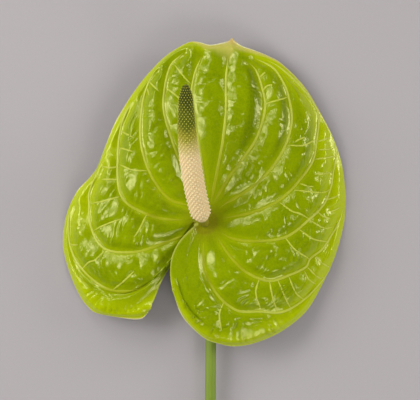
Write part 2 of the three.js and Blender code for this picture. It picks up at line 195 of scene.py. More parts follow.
# Ray number, then x, y and height of the margin.
OUTLINE = [
    (0, -14.5, -33.5, 20), (0.38, -11.5, -41.5, 19), (0.62, -8, -47, 17.8), (1, 0, -54.5, 16),
    (1.38, 8, -57.5, 14.3), (1.62, 13.5, -58.5, 13.2), (2, 21.5, -57.7, 11.6),
    (2.5, 32, -54, 9.8), (3, 40.5, -49, 8.2), (3.5, 48.5, -42, 5.6), (4, 54.5, -32.5, 3.6),
    (4.5, 61.8, -17, 2.4), (5, 66.3, -1, 1.1), (5.3, 67, 8, 0.6), (5.5, 67.1, 13.5, 0.9),
    (6, 65.3, 27, 2.6), (6.5, 61.5, 38.5, 4.2), (7, 56.7, 48.5, 4.8), (7.5, 47.6, 63.6, 6.2),
    (8, 37, 74.2, 8.6), (8.5, 30, 78.2, 9.6), (9, 23.5, 80.8, 10.4), (9.5, 17.8, 82.8, 10.6),
    (9.85, 14.2, 85.2, 9.2), (10, 13, 86.7, 8.2), (10.15, 11.6, 85.4, 9), (10.5, 8, 84.2, 10.4),
    (11, 2.5, 83.3, 11.4), (11.5, -2.5, 84.6, 11), (12, -6.8, 84.9, 9.8),
    (12.5, -13.5, 81.6, 9.4), (13, -20.5, 76.4, 8.8), (13.5, -31, 64.8, 7.4),
    (14, -41.5, 48.2, 8.6), (14.5, -47.3, 34.5, 8), (14.85, -51.4, 24.8, 6),
    (15, -54.6, 20.8, 5.2), (15.5, -60.6, 14.2, 3.6), (16, -65.4, 4, 1.8),
    (16.38, -67.2, -6, 0.75), (16.62, -67, -14, 1.1), (17, -63, -27, 3.6),
    (17.38, -58.5, -36, 5.6), (17.62, -55.5, -39.8, 6.6), (18, -50.8, -43.2, 8),
    (18.5, -37, -45.4, 10.8), (18.85, -29.5, -45.3, 12.4), (19, -26.5, -42.6, 13),
]
print("rays:", len(RAYS), "points of the outline:", len(OUTLINE))

# %% [markdown]
# ## The smooth blade
# One function gives any point of the blade, from how far round the fan it is and how far out
# along its ray. It starts at a collar round the hub and ends in a margin that rolls down. A grid
# of such points follows the veins, which is what lets a narrow groove stay sharp.

# %% A point of the blade
HUB_HEIGHT = 17
COLLAR_RADIUS = 5.2
EDGE_ROLL = 2.2
EDGE_ROLL_START = 0.9


def curve_through(knots):
    """A smooth curve through rows of (t, values). Between two knots it is the cubic that starts
    and ends with the slope of the chord between each knot's neighbours."""
    knots = np.asarray(knots, float)
    t, y = knots[:, 0], knots[:, 1:]
    before = np.maximum(np.arange(len(t)) - 1, 0)
    after = np.minimum(np.arange(len(t)) + 1, len(t) - 1)
    slope = (y[after] - y[before]) / (t[after] - t[before])[:, None]

    def at(q):
        i = np.clip(np.searchsorted(t, q, side="left") - 1, 0, len(t) - 2)
        span = (t[i + 1] - t[i])[..., None]
        s = (q - t[i])[..., None] / span
        rise = s * s * (3 - 2 * s)
        return (y[i] * (1 - rise) + y[i + 1] * rise
                + span * s * (1 - s) ** 2 * slope[i] + span * s * s * (s - 1) * slope[i + 1])

    return at


collar_at, *stations_at = [curve_through([(u, *ray[k]) for u, ray in enumerate(RAYS)])
                           for k in range(4)]
margin_at = curve_through(OUTLINE)


def blade_point(u, v):
    """The smooth blade at ray u and share v of the way out. Along a ray it is the one quartic
    through collar, three stations and margin, and the last tenth rolls down by EDGE_ROLL."""
    bearing, rise = np.moveaxis(collar_at(u), -1, 0)
    angle = np.radians(bearing)
    start = np.stack([COLLAR_RADIUS * np.cos(angle), COLLAR_RADIUS * np.sin(angle),
                      HUB_HEIGHT + rise], -1)
    path = [start, *[station(u) for station in stations_at], margin_at(u) + [0, 0, EDGE_ROLL]]
    places = np.linspace(0, 1, len(path))
    point = 0
    for i, place in enumerate(places):
        others = np.delete(places, i)
        weight = np.prod([(v - other) / (place - other) for other in others], axis=0)
        point = point + weight[..., None] * path[i]
    point[..., 2] -= EDGE_ROLL * smooth(v, EDGE_ROLL_START, 1) ** 2
    return point


tip = blade_point(np.array([float(MIDRIB)]), np.array([1.0]))[0]
print("the cusp is", tip.round(1), "from the hub's foot, in millimetres")

# %% [markdown]
# ## The spathe's grid
# Columns follow the rays and stand closer together beside a vein, where the groove is. Rows run
# round the hub. Beside each point of the grid some distances are kept, which shape and colour the
# blade later: back along its ray to the hub's collar, on to the margin, across to the free edge,
# and the width between neighbouring rays. The way up from the blade is a cross product of two
# grid directions. It says little at the hub and where the two run nearly side by side, so there
# it is blended with straight up.

# %% Grid and distances
COLUMNS_PER_RAY = 24
ROWS = 166
CROWDING = 0.5
TRUSTED_SHARE, TRUSTED_SPREAD, ROOMY = (0, 0.12), (0.25, 0.7), (0, 13)


def ray_positions():
    """Ray numbers of the columns: inside each ray's interval a cosine ramp, mixed with an even
    one, which crowds the columns towards both veins."""
    s = np.arange(COLUMNS_PER_RAY) / COLUMNS_PER_RAY
    shares = CROWDING * (1 - np.cos(np.pi * s)) / 2 + (1 - CROWDING) * s
    return np.append((np.arange(LAST_RAY)[:, None] + shares).ravel(), LAST_RAY)


u_line = ray_positions()
v_line = np.linspace(0, 1, ROWS)
U, V = np.meshgrid(u_line, v_line, indexing="ij")
blade = blade_point(U, V)
around = np.gradient(blade, u_line, axis=0)
outward = np.gradient(blade, v_line, axis=1)
normal = unit(np.cross(outward, around))
spread = np.linalg.norm(np.cross(unit(outward), unit(around)), axis=-1)
spacing = np.linalg.norm(blade_point(np.minimum(U + 0.5, LAST_RAY), V)
                         - blade_point(np.maximum(U - 0.5, 0), V), axis=-1)
trusted = smooth(V, *TRUSTED_SHARE) * smooth(spread, *TRUSTED_SPREAD) * smooth(spacing, *ROOMY)
normal = unit(trusted[..., None] * normal + (1 - trusted)[..., None] * [0, 0, 1])

steps = np.linalg.norm(np.diff(blade, axis=1), axis=-1)
from_collar = np.concatenate([np.zeros((len(u_line), 1)), np.cumsum(steps, axis=1)], axis=1)
from_margin = from_collar[:, -1:] - from_collar
from_edge = np.minimum(from_margin, np.minimum(U, LAST_RAY - U) * spacing)
print("grid:", blade.shape[:2], "mean ray", from_collar[:, -1].mean().round(1), "mm long")

# %% [markdown]
# ## The net of veins
# Each main vein leaves the hub, follows its ray, and near the margin bends over until it runs
# into the next one, so together they make a line of arches a few millimetres inside the edge.
# Between them stand cross veins, like the rungs of a ladder. All of them are listed as x and y
# from the hub. The last main vein of each side runs close by the sinus and is only a faint
# groove. The last two of the left side show only where they are clear of the smooth strip along
# the sinus.

# %% Main veins and cross veins
MIDRIB_LINE = [(0, 0), (2, 5.5), (5, 19), (8.5, 37.5), (10, 52.5), (10, 66), (11, 77)]

RIGHT_VEINS = [
    [(0, 0), (5.5, 11), (11.5, 21), (17.5, 29), (24, 38.5), (27.5, 48.5), (28.5, 55.5),
     (27.5, 61.5), (24.5, 71), (21.5, 74.5)],
    [(0, 0), (9, 8), (20.5, 15), (30, 23.5), (36.5, 33), (40, 42), (41, 50), (39.5, 59.5),
     (37.5, 65), (32.5, 72.5), (24, 77)],
    [(0, 0), (10.5, 2), (24, 5), (36, 11), (44.5, 19.5), (51, 29), (53, 39.5), (54, 50),
     (52, 55.5), (45, 64.5), (35.5, 73), (30, 76)],
    [(0, 0), (4, -2), (12.5, -7.5), (24, -9), (38, -7), (49, 1), (56, 8), (59.5, 15.5),
     (61, 24), (62.5, 33), (60.5, 38)],
    [(0, 0), (4, -4), (10.5, -14), (19, -23), (30, -27.5), (39.5, -25), (48, -21),
     (49.5, -17.5), (55.5, -13), (60, -6.5), (64.5, 1.5), (66, 7)],
    [(0, 0), (-0.5, -16), (0.5, -23.5), (6.5, -34.5), (15.5, -41.5), (26, -42), (36, -42.5),
     (44.5, -38.5), (53.5, -30.5), (59, -23.5), (60.5, -19.5)],
    [(0, 0), (-4, -7.5), (-7, -16), (-8, -25), (-6, -33.5), (-2, -41), (4, -47), (10.5, -51),
     (17.5, -54), (25.5, -54)],
]

LEFT_VEINS = [
    [(0, 0), (0, 17.5), (-3, 38.5), (-6, 59.5), (-4.5, 70), (-1.5, 77.5)],
    [(0, 0), (-3.5, 10.5), (-9.5, 23.5), (-15.5, 39.5), (-19, 52), (-19, 60), (-16, 73.5),
     (-10, 79.5)],
    [(0, 0), (-2, 4), (-7.5, 7.5), (-16, 10.5), (-23, 18.5), (-27.5, 28), (-30, 39.5),
     (-29, 57), (-26, 66.5), (-23, 71)],
    [(0, 0), (-6.5, 1), (-19.5, 1.5), (-30, 5), (-37.5, 10), (-40.5, 17.5), (-40.5, 37),
     (-38.5, 47.5), (-34.5, 57)],
    [(0, 0), (-9, -6), (-20.5, -10.5), (-32, -14), (-45, -13.5), (-50.5, -9), (-54, -0.5),
     (-54.5, 8.5), (-54.5, 13.5), (-50.5, 24)],
    [(-28, -30), (-34.5, -32.5), (-44.5, -32), (-52.5, -27.5), (-60.5, -19), (-64, -10),
     (-64.5, 1.5), (-63, 7)],
    [(-31, -39), (-34, -41), (-40, -43), (-46, -42.5), (-51.5, -39.5), (-56.5, -35), (-63, -23)],
]

RIGHT_CROSS_VEINS = [
    [(28.5, 55.5), (35.5, 57.5), (39.5, 59)], [(27.5, 62), (29.5, 64), (32.5, 64.5)],
    [(26, 68), (27.5, 69.5), (29, 71)], [(39, 36), (46.5, 36), (52.5, 39)],
    [(42.5, 37.5), (45, 39), (48, 40)], [(53.5, 38), (57, 39), (59.5, 40)],
    [(52, 29.5), (59, 30.5), (62.5, 31)], [(35.5, 9), (41, 5), (44.5, 4), (49, 1.5)],
    [(42.5, 15), (51, 14), (57, 14), (59.5, 15.5)], [(45, 18), (48, 17), (51.5, 16.5)],
    [(38, -7.5), (42.5, -13), (49.5, -17.5)], [(44.5, -3.5), (51, -8), (58, -9.5)],
    [(53, 5), (56, 2.5), (59.5, 1.5)], [(50, 0.5), (56.5, -3), (60.5, -2.5)],
    [(25.5, -27), (24, -33), (26.5, -41.5)], [(30.5, -27.5), (32, -36), (34.5, -42.5)],
    [(34.5, -27.5), (38.5, -37), (40.5, -40.5)], [(39.5, -25.5), (43, -33.5), (46.5, -36.5)],
    [(48.5, -21.5), (54, -26.5), (56.5, -26.5)], [(47, -23), (49, -27), (52.5, -29.5)],
    [(52.5, -16.5), (55.5, -19.5), (59, -21.5)], [(9, -37.5), (7, -43), (8, -51)],
    [(54, 34), (57.5, 34.2), (61, 34.8)], [(53, 22.3), (57, 22.8), (60.5, 23.6)],
    [(57.5, 10.5), (61, 11.4), (63.6, 12.6)], [(59, 4.6), (62, 5.6), (64.4, 7)],
]

LEFT_CROSS_VEINS = [
    [(-48, 26), (-44, 25.5), (-40.5, 26)], [(-48.5, 20), (-41, 20)],
    [(-39.5, 12), (-46.5, 10), (-53.5, 8.5)], [(-39, 1.5), (-47, -1.5), (-52, -4)],
    [(-40, 27), (-34, 24.5), (-27, 24)], [(-40.5, 35), (-33.5, 33)], [(-40, 43), (-33, 39.5)],
    [(-27, 3.5), (-31, -4.5), (-33, -7)], [(-47, -13.5), (-51.5, -18), (-54.5, -19), (-58, -22.5)],
    [(-33, -23), (-37.5, -27.5), (-43, -32)], [(-63.5, -11), (-60, -11)],
    [(-14, 74), (-9.5, 68), (-6.5, 65)], [(-18, 63), (-13.5, 59.5), (-11, 57)],
    [(-26, 66), (-21.5, 61.5)], [(-27, 63), (-26, 59.5)],
]
FAINT = 1
print("hand-laid veins:", 1 + len(RIGHT_VEINS) + len(LEFT_VEINS),
      "cross veins:", len(RIGHT_CROSS_VEINS) + len(LEFT_CROSS_VEINS))

# %% [markdown]
# ## How far each point is from a vein
# A groove is a function of the distance to its vein, so that distance is worked out for every
# point of the grid, in plan, once for each kind of vein. The right lobe lies over the left one, so
# each half of the blade looks only at the veins of its own side.

# %% Distances to the veins


def smooth_line(points, per_stretch=8):
    """A listed line as a dense, smooth one, with its own length as the curve's parameter."""
    run = way_along(points)
    at = curve_through(np.column_stack([run, points]))
    return at(np.linspace(0, run[-1], per_stretch * (len(points) - 1) + 1))


def distance_to(points, lines):
    """Distance in plan from each point to the nearest of some lines: the foot of the
    perpendicular on each short stretch, kept between the stretch's two ends."""
    best = np.full(len(points), np.inf)
    for line in lines:
        for a, b in zip(line[:-1], line[1:]):
            along = np.clip(((points - a) @ (b - a)) / ((b - a) @ (b - a)), 0, 1)
            gap = points - a - along[:, None] * (b - a)
            best = np.minimum(best, gap[:, 0] ** 2 + gap[:, 1] ** 2)
    return np.sqrt(best)


def distance_on_blade(right, left):
    """That distance at every point of the grid, from the lines of the half that it is on."""
    plan = blade[..., :2]
    found = np.empty(U.shape)
    for half, lines in ((U <= MIDRIB, right), (U > MIDRIB, left)):
        found[half] = distance_to(plan[half], lines)
    return found


midrib = smooth_line(MIDRIB_LINE)
right_veins, left_veins, right_cross, left_cross = (
    [smooth_line(line) for line in lines]
    for lines in (RIGHT_VEINS, LEFT_VEINS, RIGHT_CROSS_VEINS, LEFT_CROSS_VEINS))
midrib_distance = distance_on_blade([midrib], [midrib])
vein_distance = distance_on_blade(right_veins[:-FAINT], left_veins[:-FAINT])
faint_distance = distance_on_blade(right_veins[-FAINT:], left_veins[-FAINT:])
cross_distance = distance_on_blade(right_cross, left_cross)
print("share of the blade within 3 mm of a main vein:", (vein_distance < 3).mean().round(2))

# %% [markdown]
# ## Irregular by formula
# Tissue is never quite regular. A sum of waves with seeded bearings and phases gives a smooth
# random field, for wavering counts and for swellings that differ. The other function finds the
# foot of each point on the margin, since the border of the blade keeps to that line.

# %% Random waves and the way along the margin


def waves(x, y, wavelength, count=28, spread=(0.75, 1.3)):
    """A smooth random field of about unit height: a sum of cosine waves of about one wavelength
    that run every way."""
    bearing = rng.uniform(0, 2 * np.pi, count)
    phase = rng.uniform(0, 2 * np.pi, count)
    pace = 2 * np.pi / wavelength * rng.uniform(*spread, count)
    field = np.zeros(x.shape)
    for b, p, k in zip(bearing, phase, pace):
        field += np.cos(k * (np.cos(b) * x + np.sin(b) * y) + p)
    return field / np.sqrt(count / 2)


def along_margin(points, line):
    """How far each point is from a line in plan, and how far along the line its foot lies."""
    best, along = np.full(len(points), np.inf), np.zeros(len(points))
    start = 0.0
    for a, b in zip(line[:-1], line[1:]):
        length = np.linalg.norm(b - a)
        share = np.clip(((points - a) @ (b - a)) / length ** 2, 0, 1)
        gap = np.linalg.norm(points - a - share[:, None] * (b - a), axis=1)
        nearer = gap < best
        best[nearer] = gap[nearer]
        along[nearer] = start + length * share[nearer]
        start += length
    return best, along


margin_line = blade[:, -1, :2]
margin_run = way_along(margin_line)
print("the margin is", margin_run[-1].round(), "mm long")

# %% [markdown]
# ## The beat of the tissue
# Between two main veins the tissue swells and sinks in a steady beat. Three counts carry it, and
# each passes a whole number where the next swelling begins. One counts cells on the way out along
# a ray and one counts finer ripples. Both lag in the middle of a panel, slant a little,
# differently in each panel, and waver. The third runs along the margin, for the border outside
# the arches, where swellings stand square to the edge and closer together. Spacings and sizes are
# read off the photograph, in millimetres.

# %% Three counts
CELL_SPACING, CELL_WAVER, CELL_WAVER_SIZE = 7.6, 0.26, 15
RIPPLE_SPACING, RIPPLE_WAVER, RIPPLE_WAVER_SIZE = 5.6, 0.5, 13
PANEL_LAG = 0.35
PANEL_SLANT = 0.5
# The border is full up to the first distance from the margin and gone at the second.
BORDER = (7.0, 10.0)
BORDER_SPACING = (2.3, 4.6)
# Stands for a distance greater than any on the blade.
FAR = 1000.0

x, y = blade[..., 0], blade[..., 1]
panel = np.clip(np.floor(U).astype(int), 0, LAST_RAY - 1)
share = U - panel
slant = rng.uniform(-PANEL_SLANT, PANEL_SLANT, LAST_RAY)[panel]
start = rng.uniform(0, 1, LAST_RAY)[panel]
lean = slant * share - PANEL_LAG * np.sin(np.pi * share)
cell_beat = from_collar / CELL_SPACING + lean + start + CELL_WAVER * waves(x, y, CELL_WAVER_SIZE)
ripple_beat = from_collar / RIPPLE_SPACING + lean + RIPPLE_WAVER * waves(x, y, RIPPLE_WAVER_SIZE)

marks = np.cumsum(rng.uniform(*BORDER_SPACING, int(margin_run[-1] / np.mean(BORDER_SPACING))))
inshore, border_beat = np.full(U.shape, FAR), np.zeros(U.shape)
# Feet are looked for only near the margin, which is all that the border needs.
near_margin = from_margin < 2 * BORDER[1]
inshore[near_margin], margin_foot = along_margin(blade[near_margin][:, :2], margin_line)
border_beat[near_margin] = np.interp(margin_foot, marks, np.arange(len(marks)))
border = 1 - smooth(inshore, *BORDER)
print("cells on the longest ray:", int(cell_beat.max()), "pillows round the margin:", len(marks))

# %% [markdown]
# ## Cells
# At each step of the first count the tissue bulges into a cell. One seed stands in the middle of
# it, or two side by side where the panel is wide, all a little out of line, and each point of the
# blade belongs to its nearest seed. How much farther the second nearest one is tells how far the
# point is from the border of its cell, and a quarter of a sine wave of that makes the bulge.

# %% Bulging cells
WIDE_PANEL = 13.5
ONE_SEED, TWO_SEEDS = (0.5,), (0.28, 0.74)
SEED_STRAY, BEAT_STRAY = 0.1, 0.2
CELL_SIZE = 7.6


def cell_seeds():
    """Plan places of the seeds, each with whether it is on the right half of the blade."""
    found = []
    for first in range(0, len(u_line) - 1, COLUMNS_PER_RAY):
        middle = first + COLUMNS_PER_RAY // 2
        beats = cell_beat[first:first + COLUMNS_PER_RAY]
        for count in range(int(beats.min()), int(beats.max())):
            row = int(np.interp(count + 0.5, cell_beat[middle], np.arange(ROWS)))
            for place in TWO_SEEDS if spacing[middle, row] > WIDE_PANEL else ONE_SEED:
                share = place + rng.uniform(-SEED_STRAY, SEED_STRAY)
                column = first + int(share * COLUMNS_PER_RAY)
                moved = count + 0.5 + rng.uniform(-BEAT_STRAY, BEAT_STRAY)
                row = int(np.interp(moved, cell_beat[column], np.arange(ROWS)))
                if 0 < row < ROWS - 1:
                    found.append((*blade[column, row, :2], u_line[first] < MIDRIB))
    return np.array(found)


def cell_border(seeds):
    """How much farther the second nearest seed is than the nearest, on every grid point."""
    nearest, second = np.full(U.shape, FAR), np.full(U.shape, FAR)
    on_right = U < MIDRIB
    for sx, sy, right in seeds:
        gap = np.hypot(x - sx, y - sy)
        gap = np.where(on_right == bool(right), gap, FAR)
        second = np.minimum(second, np.maximum(nearest, gap))
        nearest = np.minimum(nearest, gap)
    return second - nearest


seeds = cell_seeds()
cells = np.sin(np.pi / 2 * np.clip(cell_border(seeds) / CELL_SIZE, 0, 1))
print("cells:", len(seeds))

# %% [markdown]
# ## Where the face is calm
# Not all of the face is quilted alike. Each mask below is 1 inside something and 0 outside it:
# the grooves of the veins, the flat panels beside the low midrib, the strips along the sinus, the
# pale patch under the cusp, and the hollows beside the upper right veins, which the skin also
# darkens as painted shade. What is left, between the grooves and outside the calm places, is
# lively.

# %% Masks
VEIN_HALF_WIDTH = 3.2
MIDRIB_SHARE, FAINT_SHARE = 0.7, 0.25
# A mask's window is the value where it is 0, then the one where it is 1, in rays or millimetres.
# The calm places are where the photograph shows no small highlights.
CALM_RAY, CALM_RAYS, CALM_DEPTH = 10.5, (0.75, 0.4), (36, 54)
RIGHT_STRIP_RAYS, LEFT_STRIP_RAYS, STRIP_DEPTH = (1.9, 1.2), (16.9, 17.4), (4, 8)
PATCH_RAY, PATCH_RAYS, PATCH_DEPTH = 10.2, (1.6, 0.9), (16, 9)
STRIP_CALM, PATCH_CALM, DEEP_CALM = 0.9, 0.8, 0.8
# The hollows beside the upper right veins, calm here and darkened as painted shade in the skin,
# lie about a quarter of the way from one ray to the next.
DEEP_SHARE, DEEP_HALF_WIDTH = 0.24, 0.22
DEEP_RAYS, DEEP_AMOUNTS = (6.9, 7.1, 8.0, 9.0, 9.9, 10), (0, 0.4, 0.7, 1, 1, 0)
DEEP_BEGINS, DEEP_ENDS = (2, 12), (62, 40)


def dip(distance, half_width):
    """A rounded groove: 1 on the line and falling off as a bell curve."""
    return np.exp(-(distance / half_width) ** 2)


groove = np.maximum.reduce([dip(vein_distance, VEIN_HALF_WIDTH),
                            MIDRIB_SHARE * dip(midrib_distance, VEIN_HALF_WIDTH),
                            FAINT_SHARE * dip(faint_distance, VEIN_HALF_WIDTH)])
beside_midrib = smooth(np.abs(U - CALM_RAY), *CALM_RAYS) * smooth(from_margin, *CALM_DEPTH)
sinus_strips = (np.maximum(smooth(U, *RIGHT_STRIP_RAYS), smooth(U, *LEFT_STRIP_RAYS))
                * smooth(inshore, *STRIP_DEPTH))
cusp_patch = smooth(np.abs(U - PATCH_RAY), *PATCH_RAYS) * smooth(from_margin, *PATCH_DEPTH)
painted_shade_hollows = dip(share - DEEP_SHARE, DEEP_HALF_WIDTH) * np.interp(U, DEEP_RAYS, DEEP_AMOUNTS)
painted_shade_hollows *= smooth(from_margin, *DEEP_BEGINS) * smooth(from_margin, *DEEP_ENDS)
lively = (1 - groove) * (1 - beside_midrib) * (1 - STRIP_CALM * sinus_strips)
lively *= (1 - PATCH_CALM * cusp_patch) * (1 - DEEP_CALM * painted_shade_hollows)
print("share of the face that is lively:", lively.mean().round(2))

# %% [markdown]
# ## Quilting
# The face is quilted because the tissue between the veins grows faster than the veins do. The
# relief is a sum: a wide rounded groove along each main vein and narrower ones along cross veins,
# a slow arch from vein to vein, the bulging cells, some plump and some slack, finer ripples, a
# row of pillows in the border, and soft puckers. All of it dies out at the hub and the margin.
# On top comes a fold that runs close inside the left rim.

# %% Relief of the face
VEIN_DEPTH, VEIN_UNEVEN, VEIN_UNEVEN_SIZE = 2.1, 0.2, 12
ARCH_HEIGHT, ARCH_REACH = 0.8, 8.0
MIDRIB_FLATTER, STRIP_FLATTER, LEFT_STRIP_LEVEL = 0.6, 0.9, 0.8
CROSS_DEPTH, CROSS_HALF_WIDTH, CROSS_CLEAR = 0.7, 1.6, (1, 4)
CELL_HEIGHT, PILLOW_HEIGHT, PILLOW_POWER, MEAN_BULGE = 0.85, 0.65, 3, 0.3
PLUMPNESS, PLUMPNESS_SIZE, PLUMPNESS_RANGE = (0.9, 0.45), 11, (0.2, 1.6)
RIPPLE_HEIGHT, RIPPLE_SHARE, RIPPLE_SHARE_SIZE, RIPPLE_RANGE = 0.55, (0.7, 0.5), 9, (0.1, 1.3)
PUCKER, PUCKER_SIZE = 0.1, 9.0
SMOOTH_HEART = (13, 24)
FLAT_RAY, FLAT_RAYS, FLAT_DEPTH = 10.9, (1.6, 0.9), (24, 44)
FOLD_HEIGHT, FOLD_INSHORE, FOLD_HALF_WIDTH = 0.9, 2.6, 1.5
FOLD_BEGINS, FOLD_ENDS, FOLD_RISE = (14.45, 14.75), (15.4, 15.0), (0, 1.5)
# The relief grows with the width between rays, the share of the way out and the way inshore.
ROOM_NEEDED, HUB_FREE, MARGIN_FREE = (2, 9), (0, 0.2), (0.3, 4)

plumpness = np.clip(PLUMPNESS[0] + PLUMPNESS[1] * waves(x, y, PLUMPNESS_SIZE), *PLUMPNESS_RANGE)
quilt = VEIN_DEPTH * (0.5 - groove) * (1 + VEIN_UNEVEN * waves(x, y, VEIN_UNEVEN_SIZE))
quilt += ARCH_HEIGHT * (0.5 - dip(np.minimum(vein_distance, midrib_distance), ARCH_REACH))
quilt *= 1 - np.maximum(MIDRIB_FLATTER * beside_midrib, STRIP_FLATTER * sinus_strips)
quilt += LEFT_STRIP_LEVEL * sinus_strips * (U > MIDRIB)
quilt -= CROSS_DEPTH * dip(cross_distance, CROSS_HALF_WIDTH) * (1 - groove)

outside_heart = smooth(from_collar, *SMOOTH_HEART)
pillows = 1 - np.abs(2 * (border_beat - np.floor(border_beat)) - 1) ** PILLOW_POWER
bulges = CELL_HEIGHT * cells * (1 - border) * outside_heart + PILLOW_HEIGHT * pillows * border
quilt += (bulges - MEAN_BULGE) * plumpness * smooth(cross_distance, *CROSS_CLEAR) * lively
quilt += PUCKER * waves(x, y, PUCKER_SIZE) * lively
rippled = np.clip(RIPPLE_SHARE[0] + RIPPLE_SHARE[1] * waves(x, y, RIPPLE_SHARE_SIZE), *RIPPLE_RANGE)
rippled *= 1 - smooth(np.abs(U - FLAT_RAY), *FLAT_RAYS) * smooth(from_margin, *FLAT_DEPTH)
rippled *= (1 - border) * outside_heart
quilt += RIPPLE_HEIGHT * np.cos(2 * np.pi * ripple_beat) / 2 * rippled * lively

relief = quilt * smooth(spacing, *ROOM_NEEDED) * smooth(V, *HUB_FREE)
relief *= smooth(inshore, *MARGIN_FREE)
fold = dip(inshore - FOLD_INSHORE, FOLD_HALF_WIDTH) * smooth(inshore, *FOLD_RISE)
relief += FOLD_HEIGHT * fold * smooth(U, *FOLD_BEGINS) * smooth(U, *FOLD_ENDS)
print("relief from", relief.min().round(2), "to", relief.max().round(2), "mm")

# %% [markdown]
# ## The spathe's surfaces
# The face is the blade moved along its normal by the relief, and the underside is the face moved
# back by the thickness, with fewer rows, since it is seldom seen closely. Between them runs a rim,
# which bulges a little outward. At the hub both go on inward as a flat ring.

# %% Face, underside and rim
HUB_FLAT_RADIUS = 3.3
BLADE_THICKNESS, HUB_THICKENING, HUB_THICKENING_REACH = 0.85, 0.75, 6
RIM_BULGE = 0.3
UNDER_STEP = 5

thickness = BLADE_THICKNESS + HUB_THICKENING * np.exp(-from_collar / HUB_THICKENING_REACH)
face = blade + relief[..., None] * normal
under = face - thickness[..., None] * normal
rim_way = unit(outward[:, -1] - (outward[:, -1] * normal[:, -1]).sum(-1, keepdims=True)
               * normal[:, -1])
rim = (face[:, -1] + under[:, -1]) / 2 + RIM_BULGE * rim_way


def hub_ring(height):
    """The flat ring inside the collar, at one height, with a point for every column."""
    angle = np.radians(collar_at(u_line)[:, 0])
    ring = HUB_FLAT_RADIUS * np.stack([np.cos(angle), np.sin(angle)], -1)
    return np.column_stack([ring, np.full(len(ring), height)])


hub_bottom = HUB_HEIGHT - BLADE_THICKNESS - HUB_THICKENING
face_grid = np.concatenate([hub_ring(HUB_HEIGHT)[:, None], face], axis=1)
under_rows = np.arange(0, ROWS, UNDER_STEP)
under_grid = np.concatenate([hub_ring(hub_bottom)[:, None], under[:, under_rows]], axis=1)
print("thickness from", thickness.min().round(2), "to", thickness.max().round(2), "mm")

# %% [markdown]
# ## One closed mesh
# Face and underside are joined by the rim along the margin and by walls down the two sinus edges,
# and a centre point closes the ring of the hub, between the spadix above it and the stem below.

# %% Joining the spathe


def grid_faces(index, flip=False):
    """Quads of a grid of corner numbers. The blade's columns by rows face up unless flipped."""
    a, b, c, d = index[:-1, :-1], index[:-1, 1:], index[1:, 1:], index[1:, :-1]
    order = (a, d, c, b) if flip else (a, b, c, d)
    return np.stack(order, -1).reshape(-1, 4).tolist()


def build_spathe():
    """Joins face, underside, rim and hub into one closed mesh, and returns corners and faces."""
    columns, top_rows = face_grid.shape[:2]
    low_rows = under_grid.shape[1]
    top = np.arange(columns * top_rows).reshape(columns, top_rows)
    low = top.size + np.arange(columns * low_rows).reshape(columns, low_rows)
    edge = top.size + low.size + np.arange(columns)
    centres = top.size + low.size + columns + np.arange(2)
    points = np.concatenate([face_grid.reshape(-1, 3), under_grid.reshape(-1, 3), rim,
                             [[0, 0, HUB_HEIGHT], [0, 0, hub_bottom]]])
    faces = grid_faces(top) + grid_faces(low, flip=True)
    faces += grid_faces(np.stack([top[:, -1], edge, low[:, -1]], 1))
    # The hub's ring closes round the slit between the lobes, and two fans close its middle.
    ring = np.append(np.arange(columns), 0)
    faces += [[top[-1, 0], top[-1, 1], top[0, 1], top[0, 0]],
              [low[0, 0], low[0, 1], low[-1, 1], low[-1, 0]],
              [top[-1, 1], low[-1, 1], low[0, 1], top[0, 1]]]
    faces += [[centres[0], top[i, 0], top[j, 0]] for i, j in zip(ring[:-1], ring[1:])]
    faces += [[centres[1], low[j, 0], low[i, 0]] for i, j in zip(ring[:-1], ring[1:])]
    for column, turned in ((0, False), (columns - 1, True)):
        for k in range(1, low_rows - 1):
            first = 1 + (k - 1) * UNDER_STEP
            wall = [*top[column, first:first + UNDER_STEP + 1], low[column, k + 1], low[column, k]]
            faces.append(wall[::-1] if not turned else wall)
        corner = [top[column, -1], edge[column], low[column, -1]]
        faces.append(corner[::-1] if not turned else corner)
    return points, faces


def mesh_object(name, points, faces):
    """A smooth-shaded mesh object from millimetre points round the hub, in the row's frame."""
    mesh = bpy.data.meshes.new(name)
    mesh.from_pydata(((points + [HUB[0], HUB[1], HUB[2] - HUB_HEIGHT]) * MM).tolist(), [], faces)
    mesh.polygons.foreach_set("use_smooth", np.ones(len(mesh.polygons), bool))
    mesh.update()
    return add_object(name, mesh)


def keep(piece, name, values):
    """Stores one number for each corner of a mesh, for the material to read."""
    layer = piece.data.attributes.new(name, "FLOAT", "POINT")
    layer.data.foreach_set("value", np.asarray(values, np.float32))


spathe_points, spathe_faces = build_spathe()
spathe = mesh_object("spathe_blade", spathe_points, spathe_faces)
print("spathe:", len(spathe.data.vertices), "corners,", len(spathe.data.polygons), "faces")

# %% [markdown]
# ## Numbers for the skin
# The colour of a spathe changes with the place on it, so the material has to know where it is.
# Each corner of the mesh keeps a few numbers: how far it is from the free edge, from the hub and
# from the cusp, how deep it lies in a groove, how much painted shade it takes in the hollows beside
# the upper right veins, and whether it is on the underside. The pale wedge under the cusp and the
# painted light that makes the margin lighter and yellower each reach a different depth on each
# ray, so what is kept for them is the share of that depth.

# %% What the spathe's material reads
# How deep from the margin the pale wedge and the painted margin light reach, on some rays, in
# millimetres.
TIP_RAYS = (6.5, 7, 8.5, 9.1, 9.5, 9.8, 10, 10.2, 10.6, 11, 11.5, 12)
TIP_DEPTHS = (0.05, 0.7, 1.3, 2.2, 3.2, 5.5, 13, 9, 5.5, 3.6, 1.6, 0.5)
MARGIN_LIGHT_RAYS = (0, 2, 4, 6.5, 7.5, 8.3, 10, 12, 13, 14, 15, 18, 19)
MARGIN_LIGHT_DEPTHS = (16, 22, 32, 34, 22, 9, 6, 7, 14, 24, 34, 34, 26)


